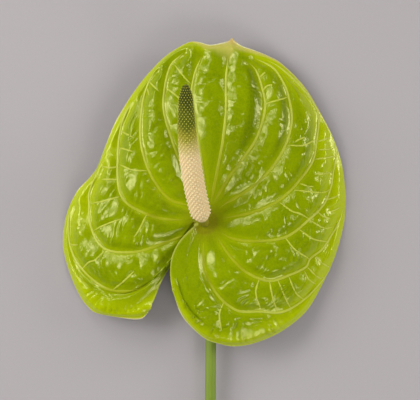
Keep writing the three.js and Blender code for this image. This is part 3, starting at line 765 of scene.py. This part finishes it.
def on_all_corners(field, rim_values, middle_value):
    """Spreads a grid field over the mesh's corners: face, underside, rim, then two centres."""
    top_values = np.concatenate([field[:, :1], field], axis=1)
    low_values = np.concatenate([field[:, :1], field[:, under_rows]], axis=1)
    return np.concatenate([top_values.ravel(), low_values.ravel(),
                           np.broadcast_to(rim_values, len(u_line)), [middle_value] * 2])


wedge = from_margin / np.interp(U, TIP_RAYS, TIP_DEPTHS)
painted_margin_light = from_margin / np.interp(U, MARGIN_LIGHT_RAYS, MARGIN_LIGHT_DEPTHS)
from_tip = np.linalg.norm(blade - tip, axis=-1)
# Each number has its value on the grid, on the rim and at the hub's centre.
skin_numbers = {
    "edge_mm": (from_edge, 0.0, 9.0),
    "painted_margin_light": (painted_margin_light, 0.0, 9.0),
    "painted_shade_hollows": (painted_shade_hollows, 0.0, 0.0),
    "hub_mm": (from_collar, from_collar[:, -1], 0.0),
    "groove": (groove, 0.0, 0.0),
    "wedge": (wedge, wedge[:, -1], 9.0),
    "tip_mm": (from_tip, from_tip[:, -1], 80.0),
}
for name, (field, on_rim, at_centre) in skin_numbers.items():
    keep(spathe, name, on_all_corners(field, on_rim, at_centre))
side = np.zeros(len(spathe_points))
side[face_grid.shape[0] * face_grid.shape[1]:-len(u_line) - 2] = 1
keep(spathe, "underside", side)
print("numbers kept for the skin:", len(skin_numbers) + 1)

# %% [markdown]
# ## Layers of colour
# Each skin below is coloured the way a glaze is painted, with one colour over another. A layer
# follows something known at the place, such as a kept number, and comes in between two of its
# values, either along an S or straight.

# %% Layers of colour


def layered(tree, colour, layers, read, blend="SMOOTHSTEP"):
    """Lays colours over one another. Each layer names what it follows, where it is full, where it
    is gone, its greatest strength and its colour. It is mixed in by its strength times the step
    from gone to full."""
    for name, full, gone, most, over in layers:
        mask = node(tree, "ShaderNodeMapRange", {"Value": read[name], "From Min": gone,
                                                 "From Max": full, "To Max": most},
                    interpolation_type=blend)
        colour = node(tree, "ShaderNodeMix", {0: mask, 6: colour, 7: linear(over)},
                      data_type="RGBA")
    return colour


print("half way in, a layer shows this share of its strength:", smooth(0.5, 0, 1))

# %% [markdown]
# ## The spathe's skin
# A fresh spathe is leaf tissue under a clear wax: yellow-green, a little see-through, and as
# glossy as patent leather. The gloss is the reflection of a smooth surface, tinted faintly
# yellow by the wax, and a very fine unevenness takes the hard edge off each highlight. The colour
# is laid on in layers: green panels, painted light that makes them lighter and yellower towards
# the margin, yellower along the grooves, painted shade in the hollows beside the veins to the
# right of the midrib, olive and brown at the hub, a cream wedge under the cusp, painted lighter
# than its own tone where the tip is dimly lit, and a soft mottle. A net of tissue cells keeps the
# panels from looking like glass.

# %% Waxy leaf tissue


def spathe_skin():
    """Waxed leaf tissue, grown, not moulded: wet-looking, with a soft mottle under the gloss.
    Plant wax has an IOR near 1.45 and is almost smooth. It is taken a little stronger here, as the
    lamps are small, and the eye sees bright patches with soft edges on a deep green."""
    material, tree, place = new_material("waxed_green_leaf_tissue")
    read = {name: node(tree, "ShaderNodeAttribute", attribute_name=name).outputs["Fac"]
            for name in (*skin_numbers, "underside")}
    mottle = node(tree, "ShaderNodeTexNoise", {"Vector": place, "Scale": scale_for(22),
                                               "Detail": 4, "Roughness": 0.55})
    # The real net of tissue is about 0.3 mm wide, too fine to show, so it is drawn at 1.6 mm.
    net = node(tree, "ShaderNodeTexVoronoi", {"Vector": place, "Scale": scale_for(1.6)},
               feature="DISTANCE_TO_EDGE")
    mottled = node(tree, "ShaderNodeMapRange", {"Value": mottle, "From Min": 0.3, "From Max": 0.7})
    green = node(tree, "ShaderNodeMix", {0: mottled, 6: linear("#7D9200"), 7: linear("#8EA200")},
                 data_type="RGBA")
    green = layered(tree, green, [
        # Painted light: lighter and yellower towards the margin, where the thin, sloping margin
        # catches more light and lets it through.
        ("painted_margin_light", 0.03, 1.0, 1.0, "#B4C402"),
        # Painted shade: the hollows beside the upper right veins are darkened.
        ("painted_shade_hollows", 0.9, 0.1, 0.7, "#627602"),
        ("groove", 1.0, 0.3, 0.4, "#A9B804"),
        ("hub_mm", 1.0, 9.0, 0.6, "#8C940A"),
        ("hub_mm", 0.0, 2.0, 0.4, "#86701A"),
        ("edge_mm", 0.1, 1.1, 0.5, "#CDD060"),
        # The cusp's own pale cream wedge, painted lighter than its tone as painted light, since the
        # tip is dimly lit.
        ("wedge", 0.35, 1.25, 0.95, "#C8C05C"),
        ("wedge", 0.0, 0.16, 0.8, "#F0ECC4"),
        ("tip_mm", 1.0, 5.0, 0.8, "#D2B060"),
        ("underside", 1.0, 0.0, 0.5, "#A3AC52"),
    ], read)
    green = layered(tree, green, [("net", 0.0, 0.12, 0.16, "#B4BE00")], {"net": net}, "LINEAR")
    pitted = node(tree, "ShaderNodeMapRange", {"Value": net, "From Min": 0.0, "From Max": 0.25})
    # An unevenness of 0.05 mm, every 0.8 mm, is what spreads a highlight's edge.
    peel = node(tree, "ShaderNodeTexNoise", {"Vector": place, "Scale": scale_for(0.8),
                                             "Detail": 1})
    peeled = node(tree, "ShaderNodeBump", {"Height": peel, "Distance": 0.05 * MM,
                                           "Strength": 0.8})
    bump = node(tree, "ShaderNodeBump", {"Height": pitted, "Distance": 0.04 * MM, "Strength": 0.7,
                                         "Normal": peeled})
    skin = node(tree, "ShaderNodeBsdfPrincipled", {
        "Base Color": green, "Roughness": 0.15, "Normal": bump, "IOR": 1.57,
        "Specular Tint": linear("#FFF6B9"), "Subsurface Weight": 0.1,
        "Subsurface Radius": (0.6, 1.0, 0.1), "Subsurface Scale": 1.2 * MM})
    node(tree, "ShaderNodeOutputMaterial", {"Surface": skin})
    return material


spathe.data.materials.append(spathe_skin())
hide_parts("spathe")
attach(spathe, "root")
print("spathe material:", spathe.data.materials[0].name)

# %% [markdown]
# ## Vein cords
# Seen closely, a vein is a thin pale cord that stands a little proud of the floor of its groove.
# It could be painted on, but a line that is thinner than the grid would break up, so each vein is
# a flat tube laid on the face. A line is dropped onto the face from above, one ray cast for each
# point, and the answer also says which way is up there. Near the sinus a line may stray off its
# own half, and then the other half catches it.

# %% Laying lines on the face
CORD_STEP, FEWEST_STEPS = 0.8, 4
CAST_HEIGHT = 100


def half_tree(columns):
    """The face of one half as a tree that answers ray casts."""
    part = face[columns]
    index = np.arange(part.shape[0] * ROWS).reshape(-1, ROWS)
    return BVHTree.FromPolygons(part.reshape(-1, 3).tolist(), grid_faces(index))


trees = {"right": half_tree(u_line <= MIDRIB), "left": half_tree(u_line >= MIDRIB)}


def dropped(line, half):
    """Points and normals of the face straight below a plan line, evenly spaced."""
    run = way_along(line)
    even = np.linspace(0, run[-1], max(int(run[-1] / CORD_STEP), FEWEST_STEPS))
    found = []
    for px, py in read_off(even, run, line):
        for tree in (trees[half], trees["left" if half == "right" else "right"]):
            spot, up, _, _ = tree.ray_cast((px, py, CAST_HEIGHT), (0, 0, -1))
            if spot is not None:
                found.append((*spot, *up))
                break
    found = np.array(found)
    return found[:, :3], unit(found[:, 3:])


def all_dropped(right, left):
    """The lines of both halves, each laid on the face."""
    return [dropped(line, "right") for line in right] + [dropped(line, "left") for line in left]


print("midrib's cord has", len(dropped(midrib, "right")[0]), "points")

# %% [markdown]
# ## The shape of a cord
# A cord is a tube of six sides, wide and low, that thins out at both ends. Main veins come out of
# the tissue a little way from the hub and turn paler on the way out, and cross veins are thinner
# and pale all along. Each cord carries its own widths, heights and paleness along its path.

# %% Building the cords
CORD_SIDES = 6
HIDDEN_START = 9.0
MAIN_HALF_WIDTHS, MAIN_HEIGHTS = (0.9, 0.7, 0.5), (0.16, 0.22, 0.2)
CROSS_HALF_WIDTHS, CROSS_HEIGHTS, CROSS_PALENESS = (0.5, 0.42, 0.48), (0.2, 0.18, 0.2), 0.8
PALER_AT, PALER = [0, 0.2, 0.5, 1], [-0.2, 0.05, 0.65, 1]


def ring_numbers(rings, sides, first=0):
    """Corner numbers of a tube's rings, each ring's first number once more at its end."""
    number = first + np.arange(rings * sides).reshape(rings, sides)
    return np.concatenate([number, number[:, :1]], axis=1)


def cord_mesh(cords):
    """Flat tubes along paths, each closed by one face at both ends. A cord is points, normals,
    half-widths, heights and paleness."""
    points, faces, pale = [], [], []
    turn = 2 * np.pi * np.arange(CORD_SIDES) / CORD_SIDES
    for path, up, width, height, paleness in cords:
        along = unit(np.gradient(path, axis=0))
        across = unit(np.cross(along, up))
        rings = (path[:, None] + width[:, None, None] * np.cos(turn)[:, None] * across[:, None]
                 + height[:, None, None] * np.sin(turn)[:, None] * up[:, None])
        base = sum(len(block) for block in points)
        wrapped = ring_numbers(len(path), CORD_SIDES, base)
        faces += grid_faces(wrapped, flip=True)
        faces += [wrapped[0, :-1].tolist(), wrapped[-1, -2::-1].tolist()]
        points.append(rings.reshape(-1, 3))
        pale.append(np.repeat(paleness, CORD_SIDES))
    return np.concatenate(points), faces, np.concatenate(pale)


def tapered(count, values, haste=12, least=0.12):
    """A value along a cord: what it is at the start, middle and end, times the way from the
    nearer end at some haste, no less than a least share and no more than 1."""
    s = np.linspace(0, 1, count)
    body = np.interp(s, [0, 0.5, 1], values)
    return body * np.maximum(np.minimum(1, np.minimum(s, 1 - s) * haste), least)


cords = []
for path, up in all_dropped([midrib, *right_veins[:-FAINT]], left_veins[:-FAINT]):
    outer = np.linalg.norm(path[:, :2], axis=1) > HIDDEN_START
    path, up = path[outer], up[outer]
    n = len(path)
    cords.append((path, up, tapered(n, MAIN_HALF_WIDTHS), tapered(n, MAIN_HEIGHTS),
                  np.interp(np.linspace(0, 1, n), PALER_AT, PALER)))
for path, up in all_dropped(right_cross, left_cross):
    n = len(path)
    cords.append((path, up, tapered(n, CROSS_HALF_WIDTHS, haste=5, least=0.5),
                  tapered(n, CROSS_HEIGHTS), np.full(n, CROSS_PALENESS)))

vein_points, vein_faces, vein_pale = cord_mesh(cords)
veins = mesh_object("spathe_veins", vein_points, vein_faces)
keep(veins, "pale", vein_pale)
print("veins:", len(cords), "cords,", len(veins.data.polygons), "faces")

# %% [markdown]
# ## The veins' skin
# A vein is pale because its tissue carries sap and little green. It lies under the same wax as
# the blade but is rougher, so it takes broader and weaker highlights. Its colour runs from the
# green of the blade to a light yellow-green with the paleness of the cord, and a mottle breaks
# that up.

# %% Vein tissue


def vein_skin():
    """Pale vascular tissue, grown under the blade's wax, ribbed too finely to see: its roughness
    of 0.4 and half the usual reflection give the eye a satin line between glossy panels."""
    material, tree, place = new_material("pale_vein_tissue")
    pale = node(tree, "ShaderNodeAttribute", attribute_name="pale").outputs["Fac"]
    mottle = node(tree, "ShaderNodeTexNoise", {"Vector": place, "Scale": scale_for(3.3),
                                               "Detail": 2})
    shade = node(tree, "ShaderNodeMath", {0: mottle, 1: 0.3, 2: pale}, operation="MULTIPLY_ADD")
    toned = node(tree, "ShaderNodeMapRange", {"Value": shade, "From Min": 0.15, "From Max": 1.15})
    colour = node(tree, "ShaderNodeMix", {0: toned, 6: linear("#A4AC08"), 7: linear("#C8D04C")},
                  data_type="RGBA")
    skin = node(tree, "ShaderNodeBsdfPrincipled", {
        "Base Color": colour, "Roughness": 0.4, "Specular IOR Level": 0.3})
    node(tree, "ShaderNodeOutputMaterial", {"Surface": skin})
    return material


veins.data.materials.append(vein_skin())
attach(veins, "root")
print("vein material:", veins.data.materials[0].name)

# %% [markdown]
# ## Tubes along curves
# The spadix and the stem are both tubes whose axis is a curve through a few points. The curve is
# of the same kind as the axes of the CAD solids, so that both keep to the same line, and the tube
# is a grid of rings, which a later function closes into a mesh.

# %% Curves and tubes


def centripetal_curve(knots, count=1500, per_stretch=240):
    """Points evenly spaced along a centripetal Catmull-Rom curve: each stretch is a cubic whose
    slopes weigh the neighbouring chords by the square root of their length."""
    p = np.asarray(knots, float)
    p = np.vstack([2 * p[0] - p[1], p, 2 * p[-1] - p[-2]])
    pieces = []
    s = np.linspace(0, 1, per_stretch)[:, None]
    for p0, p1, p2, p3 in zip(p, p[1:], p[2:], p[3:]):
        d0, d1, d2 = (np.linalg.norm(b - a) ** 0.5 for a, b in ((p0, p1), (p1, p2), (p2, p3)))
        m1 = ((p1 - p0) / d0 - (p2 - p0) / (d0 + d1) + (p2 - p1) / d1) * d1
        m2 = ((p2 - p1) / d1 - (p3 - p1) / (d1 + d2) + (p3 - p2) / d2) * d1
        rise = s * s * (3 - 2 * s)
        pieces.append(p1 * (1 - rise) + p2 * rise + s * (1 - s) ** 2 * m1 + s * s * (s - 1) * m2)
    line = np.concatenate(pieces)
    run = way_along(line)
    return read_off(np.linspace(0, run[-1], count), run, line), run[-1]


def tube(axis, shares, bearings, radii):
    """A grid of points round a curve. Across the curve, up is the +X direction crossed with the
    tangent, and a bearing turns from the side way towards it."""
    line, length = centripetal_curve(axis)
    at = np.linspace(0, 1, len(line))
    centre = read_off(shares, at, line)
    tangent = unit(read_off(shares, at, np.gradient(line, at, axis=0)))
    up = unit(np.cross([1.0, 0, 0], tangent))
    side_way = unit(np.cross(tangent, up))
    return (centre[:, None] + radii[..., None]
            * (np.cos(bearings)[..., None] * side_way[:, None]
               - np.sin(bearings)[..., None] * up[:, None])), length


print("a straight axis of 10 mm measures", centripetal_curve([(0, 0, 0), (0, 0, 10)])[1].round(2))

# %% [markdown]
# ## The spadix
# The spadix is a fleshy spike on a short stipe. It rises from the hub, leans towards the cusp
# and tapers gently to a blunt tip. Its radius is worked out along the spike: a slim stipe, a
# quick shoulder where the florets begin, an even body, a taper and a rounded end.

# %% Spadix axis and radius
STIPE_FOOT = HUB_HEIGHT + SEAT_GAP
SPADIX_RADIUS, SPADIX_TIP_RADIUS, STIPE_RADIUS = 4.4, 2.9, 2.4
FLORETS_START, FLORETS_END = 0.085, 0.996
SHOULDER_START, SHOULDER_END = FLORETS_START - 0.025, FLORETS_START + 0.05
TAPER_SPAN, TAPER_POWER = (0.35, 0.98), 1.4
SPADIX_AXIS = [(0, 0, 0), (0, 0, 1), (-1.2, 2.8, 5.4), (-3.4, 11, 11.4), (-5.5, 22, 17.4),
               (-7.3, 35, 23.2), (-8.2, 48.5, 28), (-8.5, 63, 31.8)]
END_START, END_POWER = 0.84, 2.4


def spadix_radius(share):
    """Radius along the spike: the stipe blends into the tapering body, and the last part of the
    length rounds off like the end of a superellipse."""
    slimmed = smooth(share, *TAPER_SPAN) ** TAPER_POWER
    taper = SPADIX_RADIUS + (SPADIX_TIP_RADIUS - SPADIX_RADIUS) * slimmed
    base = np.sqrt(smooth(share, SHOULDER_START, SHOULDER_END))
    end_share = np.maximum(share - END_START, 0) / (1 - END_START)
    end = np.sqrt(np.maximum(1 - end_share ** END_POWER, 0))
    return (STIPE_RADIUS + (taper - STIPE_RADIUS) * base) * end


print("radius in the middle:", round(float(spadix_radius(np.array(0.5))), 2), "mm")

# %% [markdown]
# ## Florets
# The spike is packed with tiny flowers, each a four-sided cushion with a stigma in its middle, in
# a staggered net. It could be made of a thousand copies of one floret, but as they are fused to
# the spike it is one surface, and the florets are a formula: in slanted coordinates a and b the
# net is a plain square grid, and a cushion is the product of two arches. Some florets stand out a
# little more than others, and all of them sink back towards the stipe and the tip.

# %% Cushions on the spike
FLORETS_AROUND, FLORET_ROWS = 14, 62
FLORET_HEIGHT, BEAD_HEIGHT, BEAD_HALF_WIDTH = 0.4, 0.42, 0.17
FLORET_SIZES, FLORETS_FADE_IN = (0.8, 1.15), (0, 2)
CUSHION_POWER = 0.7
SIZE_ROWS = FLORET_ROWS + 8
STEPS_PER_FLORET, ROW_STEPS = 12, 6
STIPE_ROWS, STIPE_STEPS = 3, 5

step = np.arange(FLORETS_AROUND * STEPS_PER_FLORET + 1) / STEPS_PER_FLORET * 2
stipe_rows = np.linspace(-STIPE_ROWS, 0, STIPE_STEPS, endpoint=False)
floret_rows = np.arange(FLORET_ROWS * ROW_STEPS + 1) / ROW_STEPS
STEP, ROW = np.meshgrid(step, np.append(stipe_rows, floret_rows))
spike_share = FLORETS_START + (FLORETS_END - FLORETS_START) * np.maximum(ROW, 0) / FLORET_ROWS
spike_share = np.where(ROW < 0, FLORETS_START * (1 + ROW / STIPE_ROWS), spike_share)
a, b = (ROW + STEP) / 2, (ROW - STEP) / 2


def arch(t):
    """1 in the middle of each unit of t, 0 at its ends, with a round top and steep sides."""
    return (1 - (2 * (t - np.floor(t)) - 1) ** 2) ** CUSHION_POWER


cushion = arch(a) * arch(b)
middle = np.hypot(a - np.floor(a) - 0.5, b - np.floor(b) - 0.5)
# A floret's number round the spike and along it, the same on both sides of the grid's seam.
around_number, along_number = np.floor(b).astype(int), np.floor(a).astype(int)
along_number = along_number + around_number
sizes = rng.uniform(*FLORET_SIZES, (SIZE_ROWS, FLORETS_AROUND))
floret_size = sizes[along_number % SIZE_ROWS, around_number % FLORETS_AROUND]
radius = spadix_radius(spike_share)
fade = smooth(ROW, *FLORETS_FADE_IN) * np.minimum(1, radius / SPADIX_TIP_RADIUS)
lift = FLORET_HEIGHT * cushion * floret_size + BEAD_HEIGHT * dip(middle, BEAD_HALF_WIDTH)
spike_grid, spike_length = tube(np.array(SPADIX_AXIS) + [0, 0, STIPE_FOOT], spike_share[:, 0],
                                np.pi * STEP / FLORETS_AROUND, radius + fade * lift)
print("florets:", FLORETS_AROUND * FLORET_ROWS, "on a spike", spike_length.round(1), "mm long")

# %% [markdown]
# ## Closing a tube
# The grid of a tube has its first column twice, at both ends of each ring. One function joins the
# two, closes both ends with a fan, and lays a UV map over it. The map holds the slanted
# coordinates of the florets, or the place round and along the stem.

# %% Tube meshes


def build_tube(name, grid, uv_step, uv_row):
    """Closes a tube's grid into a mesh: the last column is the first, and a fan closes each end.
    The UV map holds two numbers for each corner of each face, so that it may run past a seam."""
    rows, columns = grid.shape[0], grid.shape[1] - 1
    wrapped = ring_numbers(rows, columns)
    foot_point, end_point = rows * columns, rows * columns + 1
    fans = [[foot_point, j, i] for i, j in zip(wrapped[0, :-1], wrapped[0, 1:])]
    fans += [[end_point, i, j] for i, j in zip(wrapped[-1, :-1], wrapped[-1, 1:])]
    points = np.concatenate([grid[:, :-1].reshape(-1, 3), [grid[0, :-1].mean(0)],
                             [grid[-1, :-1].mean(0)]])
    made = mesh_object(name, points, grid_faces(wrapped) + fans)
    uv = np.stack([uv_step, uv_row], -1)
    corners = np.stack([uv[:-1, :-1], uv[:-1, 1:], uv[1:, 1:], uv[1:, :-1]], -2).reshape(-1, 2)
    ends = np.concatenate([np.stack([uv[0, :-1], uv[0, 1:], uv[0, :-1]], 1).reshape(-1, 2),
                           np.stack([uv[-1, :-1], uv[-1, :-1], uv[-1, 1:]], 1).reshape(-1, 2)])
    layer = made.data.uv_layers.new(name="UVMap")
    layer.data.foreach_set("uv", np.concatenate([corners, ends]).ravel().astype(np.float32))
    return made


spadix = build_tube("spadix_spike", spike_grid, a, b)
keep(spadix, "along", np.append(spike_share[:, :-1].ravel(), [0, 1]))
print("spadix:", len(spadix.data.polygons), "faces")

# %% [markdown]
# ## The spadix's skin
# The florets open from the base upward. Open ones are cream, those opening are yellow-green, and
# those at the tip are still dark green with a light stigma in each. The spike is fleshy and dull,
# so it is a rough skin with a weak reflection and a little light passing through it. The stigma
# dots are drawn from the same slanted coordinates as the cushions, so each sits in the middle of
# its floret. The stipe below is plain and olive.

# %% Floret skin
STIPE_BLEND = 0.02


def floret_skin():
    """Fleshy florets, grown packed together, cream to dark green along the spike, with a dot in
    the middle of each. Fresh flesh has an IOR near 1.4 but a matt, minutely grained surface, so
    its roughness is 0.6 and its reflection weak, and the eye sees velvet beside the gloss."""
    material, tree, place = new_material("fleshy_florets")
    along = node(tree, "ShaderNodeAttribute", attribute_name="along").outputs["Fac"]
    slanted = node(tree, "ShaderNodeUVMap", uv_map="UVMap")
    cell = node(tree, "ShaderNodeVectorMath", {0: slanted}, operation="FRACTION")
    offset = node(tree, "ShaderNodeVectorMath", {0: cell, 1: (0.5, 0.5, 0)}, operation="SUBTRACT")
    away = node(tree, "ShaderNodeVectorMath", {0: offset}, operation="LENGTH").outputs["Value"]
    mottle = node(tree, "ShaderNodeTexNoise", {"Vector": place, "Scale": scale_for(4.5),
                                               "Detail": 3})
    ragged = node(tree, "ShaderNodeMath", {0: mottle, 1: 0.08, 2: along}, operation="MULTIPLY_ADD")
    read = {"ragged": ragged, "away": away, "along": along}
    skin_colour = layered(tree, linear("#EAD09A"), [
        ("ragged", 0.66, 0.56, 1.0, "#C9B96A"),
        ("ragged", 0.72, 0.64, 1.0, "#A09A2C"),
        ("ragged", 0.80, 0.71, 1.0, "#5E6A0A"),
        ("ragged", 0.96, 0.84, 1.0, "#3C4A06"),
    ], read)
    skin_colour = layered(tree, skin_colour, [("away", 0.6, 0.36, 0.12, "#A8863C")], read, "LINEAR")
    dot = node(tree, "ShaderNodeMapRange", {"Value": away, "From Min": 0.24, "From Max": 0.12},
               interpolation_type="SMOOTHSTEP")
    dot_shown = node(tree, "ShaderNodeMapRange", {"Value": along, "From Min": 0.4,
                                                  "From Max": 0.6, "To Min": 0.6, "To Max": 0.9})
    dotted = node(tree, "ShaderNodeMath", {0: dot, 1: dot_shown}, operation="MULTIPLY")
    dot_age = node(tree, "ShaderNodeMapRange", {"Value": along, "From Min": 0.5, "From Max": 0.68})
    dot_colour = node(tree, "ShaderNodeMix", {0: dot_age, 6: linear("#FFF2CC"),
                                              7: linear("#CFC850")}, data_type="RGBA")
    skin_colour = node(tree, "ShaderNodeMix", {0: dotted, 6: skin_colour, 7: dot_colour},
                       data_type="RGBA")
    stipe = ("along", FLORETS_START - STIPE_BLEND, FLORETS_START, 1.0, "#8A8420")
    skin_colour = layered(tree, skin_colour, [stipe], read, "LINEAR")
    # The grain of the flesh, real at about 0.1 mm, is drawn at 0.4 mm so that it shows.
    grain = node(tree, "ShaderNodeTexNoise", {"Vector": place, "Scale": scale_for(0.4),
                                              "Detail": 2})
    bump = node(tree, "ShaderNodeBump", {"Height": grain, "Distance": 0.06 * MM, "Strength": 0.6})
    skin = node(tree, "ShaderNodeBsdfPrincipled", {
        "Base Color": skin_colour, "Roughness": 0.6, "Normal": bump, "Subsurface Weight": 0.15,
        "Subsurface Radius": (1.0, 0.7, 0.35), "Subsurface Scale": 1 * MM,
        "Specular IOR Level": 0.15})
    node(tree, "ShaderNodeOutputMaterial", {"Surface": skin})
    return material


spadix.data.materials.append(floret_skin())
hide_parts("spadix")
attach(spadix, "root")
print("spadix material:", spadix.data.materials[0].name)

# %% [markdown]
# ## The stem
# The stem is a smooth, solid, round stalk. From the hub it bends back within a few millimetres
# and lies along the surface to its cut end. It is the same kind of tube as the spadix, with
# shallow lengthwise ribs and a slow waver in its thickness, so that it doesn't read as a pipe.

# %% Building the stem
STEM_LENGTH = 340
STEM_NECK_RADIUS, STEM_END_RADIUS = 2.5, 3.1
STEM_TOP = hub_bottom - SEAT_GAP
STEM_AXIS = [(0.4, -STEM_LENGTH, STEM_END_RADIUS), (2.4, -250, 3.9), (3, -160, 5), (2.8, -90, 6),
             (2.8, -50, 6.7), (2, -24, 7.2), (0.9, -8, 7.7), (0.4, -3.4, 8.7), (0.1, -0.9, 10.8),
             (0, 0, STEM_TOP - 1.6), (0, 0, STEM_TOP)]
STEM_COLUMNS, STEM_ROWS = 48, 420
RIB_COUNT, RIB_DEPTH = 9, 0.08
WAVER_COUNT, WAVER_DEPTH = 9.5, 0.06
# A power above 1 sets the rows closer together near the hub, where the stem bends.
ROW_CROWDING = 1.5

stem_share = 1 - (1 - np.linspace(0, 1, STEM_ROWS)) ** ROW_CROWDING
BEARING, ALONG = np.meshgrid(np.linspace(0, 2 * np.pi, STEM_COLUMNS + 1), stem_share)
stem_radius = STEM_END_RADIUS + (STEM_NECK_RADIUS - STEM_END_RADIUS) * ALONG
stem_radius -= RIB_DEPTH / 2 * (1 - np.cos(RIB_COUNT * BEARING))
stem_radius -= WAVER_DEPTH / 2 * (1 - np.cos(2 * np.pi * WAVER_COUNT * ALONG))
stem_grid, stem_length = tube(STEM_AXIS, stem_share, BEARING, stem_radius)
stem = build_tube("stem_stalk", stem_grid, BEARING / (2 * np.pi), ALONG)
keep(stem, "along", np.append(ALONG[:, :-1].ravel(), [0, 1]))
print("stem:", stem_length.round(1), "mm long,", len(stem.data.polygons), "faces")

# %% [markdown]
# ## The stem's skin
# The stalk has a thinner wax than the spathe, so it is satin, not glossy: a duller green with
# faint streaks that run lengthwise, like the fibres inside. The cut end shows the pale pith. The
# streaks are noise that is stretched along the stalk.

# %% Stem skin


def stem_skin():
    """Smooth green stalk, grown in length, so its fibres streak it. Its thin wax has a roughness
    of 0.42 under a weak clearer coat, and the eye sees a satin line of light down one side."""
    material, tree, place = new_material("satin_green_stalk")
    along = node(tree, "ShaderNodeAttribute", attribute_name="along").outputs["Fac"]
    # Fibres lie about 1.1 mm apart and fade in and out every 40 mm or so along the stalk.
    fibre_scale = (scale_for(1.1), scale_for(40), scale_for(1.1))
    drawn_out = node(tree, "ShaderNodeMapping", {"Vector": place, "Scale": fibre_scale})
    streak = node(tree, "ShaderNodeTexNoise", {"Vector": drawn_out, "Scale": 1, "Detail": 3})
    colour = node(tree, "ShaderNodeMix", {0: streak, 6: linear("#6E881C"), 7: linear("#8CA036")},
                  data_type="RGBA")
    pith = ("along", 0.0, 0.0008, 0.8, "#C4CBA0")
    colour = layered(tree, colour, [pith], {"along": along}, "LINEAR")
    bump = node(tree, "ShaderNodeBump", {"Height": streak, "Distance": 0.08 * MM, "Strength": 0.5})
    skin = node(tree, "ShaderNodeBsdfPrincipled", {
        "Base Color": colour, "Roughness": 0.42, "Normal": bump, "Subsurface Weight": 0.1,
        "Subsurface Radius": (0.6, 1.0, 0.3), "Subsurface Scale": 1 * MM, "Coat Weight": 0.2,
        "Coat Roughness": 0.3})
    node(tree, "ShaderNodeOutputMaterial", {"Surface": skin})
    return material


stem.data.materials.append(stem_skin())
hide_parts("stem")
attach(stem, "root")
print("stem material:", stem.data.materials[0].name)

# %% [markdown]
# ## The floor
# The flower lies on a plain sheet of warm grey paper, matt and nearly even, with only a trace of
# fibre in its tone. It is so wide that its edge isn't in the picture from above.

# %% Floor
FLOOR_SIZE = 3.0

reach = FLOOR_SIZE / 2
floor_mesh = bpy.data.meshes.new("floor")
floor_mesh.from_pydata([(-reach, -reach, 0), (reach, -reach, 0), (reach, reach, 0),
                        (-reach, reach, 0)], [], [(0, 1, 2, 3)])
floor = add_object("floor", floor_mesh)
paper, paper_tree, on_floor = new_material("matt_backdrop_paper")
# Matt uncoated paper: no highlight at all, and a trace of fibre at 1.1 mm.
fibre = node(paper_tree, "ShaderNodeTexNoise", {"Vector": on_floor, "Scale": scale_for(1.1),
                                                "Detail": 2})
tone = node(paper_tree, "ShaderNodeMix", {0: fibre, 6: linear("#AEA8A8"), 7: linear("#B2ACAC")},
            data_type="RGBA")
sheet = node(paper_tree, "ShaderNodeBsdfPrincipled", {"Base Color": tone, "Roughness": 0.9})
node(paper_tree, "ShaderNodeOutputMaterial", {"Surface": sheet})
floor_mesh.materials.append(paper)
print("floor:", FLOOR_SIZE, "m wide,", paper.name)

# %% [markdown]
# ## The light
# The light is a bright studio. Each softbox is brighter in its middle than at its rim, and that
# gives the highlights on the wax a soft fall-off. A broad one on the left makes most of them, and
# smaller ones at the back, in front and low on the right fill them in. A lamp overhead and the
# sky lift the shadows, but neither is seen in the gloss, where they would lay a grey veil over
# the green.

# %% Lights and sky
# A softbox's bright middle is a second lamp: its share of the size, power and distance.
CORE_SIZE, CORE_POWER, CORE_DISTANCE = 0.5, 0.3, 0.99
# Place in metres from the hub, width in metres and power in watts.
SOFTBOXES = {
    "left": ((-1.0, 0.35, 0.72), 0.95, 11.6),
    "back": ((-0.45, 1.0, 0.85), 0.55, 3.0),
    "front": ((0.55, -0.9, 0.72), 0.65, 5.0),
    "right": ((1.05, 0.3, 0.38), 0.5, 4.4),
}
OVERHEAD = ((0.0, 0.0, 1.6), 0.4, 1.8)
SKY_STRENGTH = 0.3


def soft_light(name, place, size, power):
    """A square area light at a place in metres from the hub, aimed at the middle of the spathe."""
    light = bpy.data.lights.new(name, "AREA")
    light.size = size
    light.energy = power
    lamp = add_object(name, light)
    lamp.location = (HUB[0] * MM + place[0], HUB[1] * MM + place[1], place[2])
    lamp.rotation_euler = (-Vector(place)).to_track_quat("-Z", "Y").to_euler()
    return lamp


for name, (place, size, power) in SOFTBOXES.items():
    soft_light(name + "_softbox", place, size, (1 - CORE_POWER) * power)
    just_in_front = tuple(CORE_DISTANCE * np.array(place))
    soft_light(name + "_core", just_in_front, CORE_SIZE * size, CORE_POWER * power)
overhead = soft_light("overhead_softbox", *OVERHEAD)
overhead.visible_glossy = False

world = bpy.data.worlds.new("studio")
world.use_nodes = True
bpy.context.scene.world = world
sky = world.node_tree.nodes["Background"]
sky.inputs["Color"].default_value = linear("#F4F4F8")
sky.inputs["Strength"].default_value = SKY_STRENGTH
world.cycles_visibility.glossy = False
print("power of the softboxes:", sum(power for _, _, power in SOFTBOXES.values()), "W")

# %% [markdown]
# ## The camera
# The picture shows the spathe face on, and the flower lies on its back, so the camera looks
# straight down. Its lens is long, which keeps the raised spadix in scale with the blade. Its
# height follows from how many millimetres of the face one pixel covers.

# %% Camera
PIXEL = 0.47
VIEW_CENTRE = (2.6, 10.3)
FACE_HEIGHT = 14
LENS, SENSOR, IMAGE_WIDTH = 200, 36, 420

camera_data = bpy.data.cameras.new("camera")
camera_data.lens = LENS
camera_data.sensor_width = SENSOR
camera_data.clip_end = 10
camera = add_object("camera", camera_data)
distance = PIXEL * IMAGE_WIDTH * LENS / SENSOR
camera.location = ((HUB[0] + VIEW_CENTRE[0]) * MM, (HUB[1] + VIEW_CENTRE[1]) * MM,
                   (FACE_HEIGHT + distance) * MM)
bpy.context.scene.camera = camera
bpy.context.scene.view_settings.view_transform = "Standard"
print("camera", round(distance), "mm above the face")
